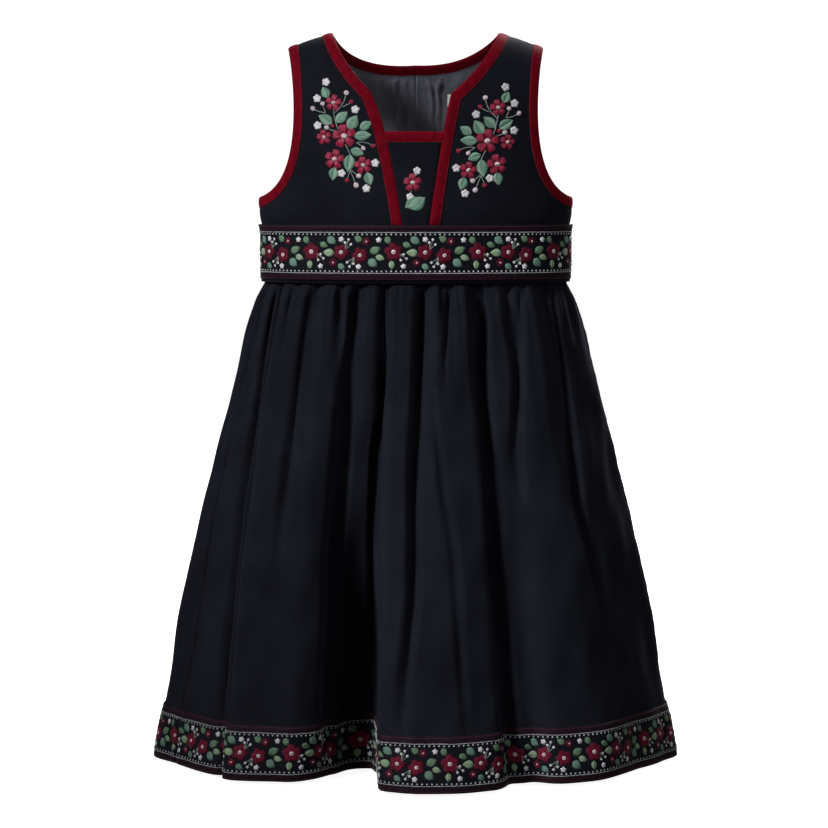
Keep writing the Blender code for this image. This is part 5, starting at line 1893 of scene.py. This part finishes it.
def seam_stitches(name, place):
    fallen = np.linspace(*SEAM_RUN)
    at = np.full(len(fallen), place)
    outs = outward_of(skirt_surface, at, fallen)
    points = skirt_surface(at, fallen) + outs * SEAM_SKIN
    return sewn_along(name, "stitches", points, outs, NAVY, **SKIRT_STITCH)


seams = [seam_stitches(name, place) for name, place in zip(SEAM_NAMES, SEAM_PLACES)]
print("seams:", [seam.name for seam in seams])

# %% [markdown]
# ## The zip
# The concealed zip's coil is a helix behind the two edges of the cloth; only the slider and
# its pull show. They are the imported solids with rounded edges, and the pull rides on its own
# body.
# %% Zip tape and coil
TAPE_WIDTH, TAPE_TOP, ZIP_TOP = 0.024, -0.0205, -0.0345
TAPE_CELLS, TAPE_IN, TAPE_WALL = (10, 90), 0.00056, 0.00014
COIL = {"Thickness": 0.0005, "Coil": 0.0009, "Turn": 0.0013, "Step": 0.00022, "Sides": 4}
COIL_IN = 0.0002


def zip_tape():
    across, below = grid_shares(*TAPE_CELLS)
    x = (0.5 - across) * TAPE_WIDTH
    z = TAPE_TOP + (WAIST_SEAM + 0.002 - TAPE_TOP) * below
    points, outs = on_back(x, z)
    flat = np.c_[across * TAPE_WIDTH, TAPE_TOP - z]
    middle, faces = points - outs * TAPE_IN, grid_faces(*TAPE_CELLS)
    return sheet_piece("zip_tape_woven", middle, outs, faces, TAPE_WALL, flat, SATIN)


def zip_coil():
    z = np.linspace(ZIP_TOP, WAIST_SEAM - 0.002, 90)
    points, outs = on_back(0 * z, z)
    return sewn_along("zip_coil_nylon", "cord", points - outs * COIL_IN, outs, NAVY, **COIL)


tape, coil = zip_tape(), zip_coil()
tell_faces({"tape": tape, "coil": coil})


# %% Slider and pull
def rounded_copy(name, solid, width):
    made = bmesh.new()
    made.from_mesh(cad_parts[solid].data)
    bmesh.ops.remove_doubles(made, verts=made.verts, dist=1e-6)
    bmesh.ops.dissolve_limit(made, angle_limit=0.02, verts=made.verts, edges=made.edges)
    sharp = [e for e in made.edges if len(e.link_faces) == 2 and e.calc_face_angle() > 0.5]
    bmesh.ops.bevel(
        made, geom=sharp, offset=width, segments=2, profile=0.6, affect="EDGES", clamp_overlap=True
    )
    mesh = bpy.data.meshes.new(name)
    made.to_mesh(mesh)
    made.free()
    mesh.polygons.foreach_set("use_smooth", [True] * len(mesh.polygons))
    mesh.materials.clear()
    mesh.materials.append(METAL)
    return added(name, mesh)


slider = rounded_copy("slider_metal", "zip_slider", 0.0003)
pull = rounded_copy("pull_metal", "zip_pull", 0.00032)
tell_faces({"slider": slider, "pull": pull})

# %% [markdown]
# ## Floor and light
# The floor is pale and flat, just under the hem, and the sky is white to the eye but lights the
# dress only a little. Wool this dark shows its folds only where light comes across them, so the
# main lamp is a soft spot high on the left, aimed past the right side of the hem, which leaves
# the near left side dark. Two weak discs fill from the right and from behind.
# %% Floor
FLOOR_DROP, FLOOR_HALF = 0.004, 14


def make_floor():
    made = bmesh.new()
    bmesh.ops.create_grid(made, x_segments=2, y_segments=2, size=FLOOR_HALF)
    mesh = bpy.data.meshes.new("floor")
    made.to_mesh(mesh)
    made.free()
    floor = added("floor", mesh)
    floor.location = (0, 0, cad_box[0][2] - FLOOR_DROP)
    floor.visible_diffuse = floor.visible_glossy = False
    finish, tree = new_finish(
        "pale_floor", (0.86, 0.86, 0.86), 0.9, 0,
        Emission_Strength=0.93, Emission_Color=(1, 1, 1, 1),
    )
    coloured_by(tree, noise(tree, 3), (0.85, 0.85, 0.85), (0.88, 0.88, 0.88))
    mesh.materials.append(finish)
    return floor


floor = make_floor()
print("floor at", floor.location.z)

# %% Lamps and sky
LAMPS = (  # name, place, what it looks at, size, power
    ("key", (-1.95, -1.75, 1.35), (0.37, -0.05, -0.56), 0.8, 790),
    ("fill", (1.7, -1.9, 0.7), (0, 0, -0.3), 1.6, 12),
    ("back", (0.9, 2.1, 1.5), (0, 0, -0.3), 1.4, 100),
)
KEY_CONE = radians(20)
SKY_SEEN, SKY_LIGHT = 1.1, 0.12


def make_lamp(name, place, aim_at, size, power):
    """The key is a soft spot that fades to the left; the others are discs."""
    light = bpy.data.lights.new(name, "SPOT" if name == "key" else "AREA")
    if name == "key":
        light.spot_size, light.spot_blend, light.shadow_soft_size = KEY_CONE, 1, size / 2
    else:
        light.shape, light.size = "DISK", size
    light.energy = power
    lamp = added(name, light)
    lamp.location = place
    lamp.rotation_euler = (Vector(aim_at) - Vector(place)).to_track_quat("-Z", "Y").to_euler()


def make_sky():
    sky = bpy.data.worlds.new("sky")
    sky.use_nodes = True
    tree = sky.node_tree
    seen = node(tree, "ShaderNodeLightPath").outputs["Is Camera Ray"]
    strength = math_node(tree, "MULTIPLY_ADD", seen, SKY_SEEN - SKY_LIGHT, SKY_LIGHT)
    tree.nodes["Background"].inputs["Color"].default_value = (1, 1, 1, 1)
    tree.links.new(strength, tree.nodes["Background"].inputs["Strength"])
    return sky


for row in LAMPS:
    make_lamp(*row)
bpy.context.scene.world = make_sky()
print("lamps:", [row[0] for row in LAMPS])

# %% [markdown]
# ## Putting each piece on its body
# Each piece rides on a body and the solid it stands for is hidden; each sheet prints the size
# it was cut to, measured from its own map.
# %% Bodies and hidden solids
LEAST_SHARE = 0.31  # of its flat rectangle that a sheet of the dress covers at least


def tell_sheet(piece, least=0):
    """Prints a sheet's size laid flat, from its cloth map, and its area, kept between a least share of
    that flat size and the whole of it.
    """
    mesh = piece.data
    flat = np.empty(len(mesh.loops) * 2)
    mesh.uv_layers["cloth"].data.foreach_get("uv", flat)
    width, length = (float(side) for side in np.ptp(flat.reshape(-1, 2), axis=0))
    area = float(sum(polygon.area for polygon in mesh.polygons) / 2)
    area = min(max(area, least * width * length), width * length)
    print(f"{piece.name}: flat {width:.3f} x {length:.3f} m, area {area:.4f} m2")


def dress_piece(piece, solid, extras=()):
    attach(piece, "dress")
    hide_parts(solid)
    for extra in extras:
        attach(extra, "dress")
    tell_sheet(piece, LEAST_SHARE)


for solid, piece in bodice.items():
    sewn_on = [embroidery[solid]] if solid in embroidery else []
    dress_piece(piece, solid, sewn_on)
for solid, piece in lining.items():
    dress_piece(piece, solid)
for solid, piece in bindings.items():
    dress_piece(piece, solid, [stitching[solid]])
dress_piece(label, "size_label", [stitching["size_label"]])
SEAM_EXTRAS = {"front": seams[:2], "back_left": seams[2:], "back_right": []}


def dress_ribbon(where, word):
    name = f"{where}_{word}"
    extras = [flowers[name], trims[name], stitching[name]]
    dress_piece(ribbon_pieces[name], f"{where}_ribbon_{word}", extras)


for word in WAIST_SPANS:
    dress_piece(band[word], f"waistband_{word}")
    dress_ribbon("waist", word)
    dress_piece(skirt[word], f"skirt_{word}", SEAM_EXTRAS[word])
    dress_ribbon("hem", word)

# %% The zip's parts and the turned-up edge
for piece, solid, body in ((slider, "zip_slider", "dress"), (pull, "zip_pull", "pull")):
    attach(piece, body)
    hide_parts(solid)
for piece in (tape, coil, waist_seam):
    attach(piece, "dress")
tell_sheet(tape)
tell_sheet(waist_seam)

# %% Print the box of the solids
print("box of the solids:", cad_box)
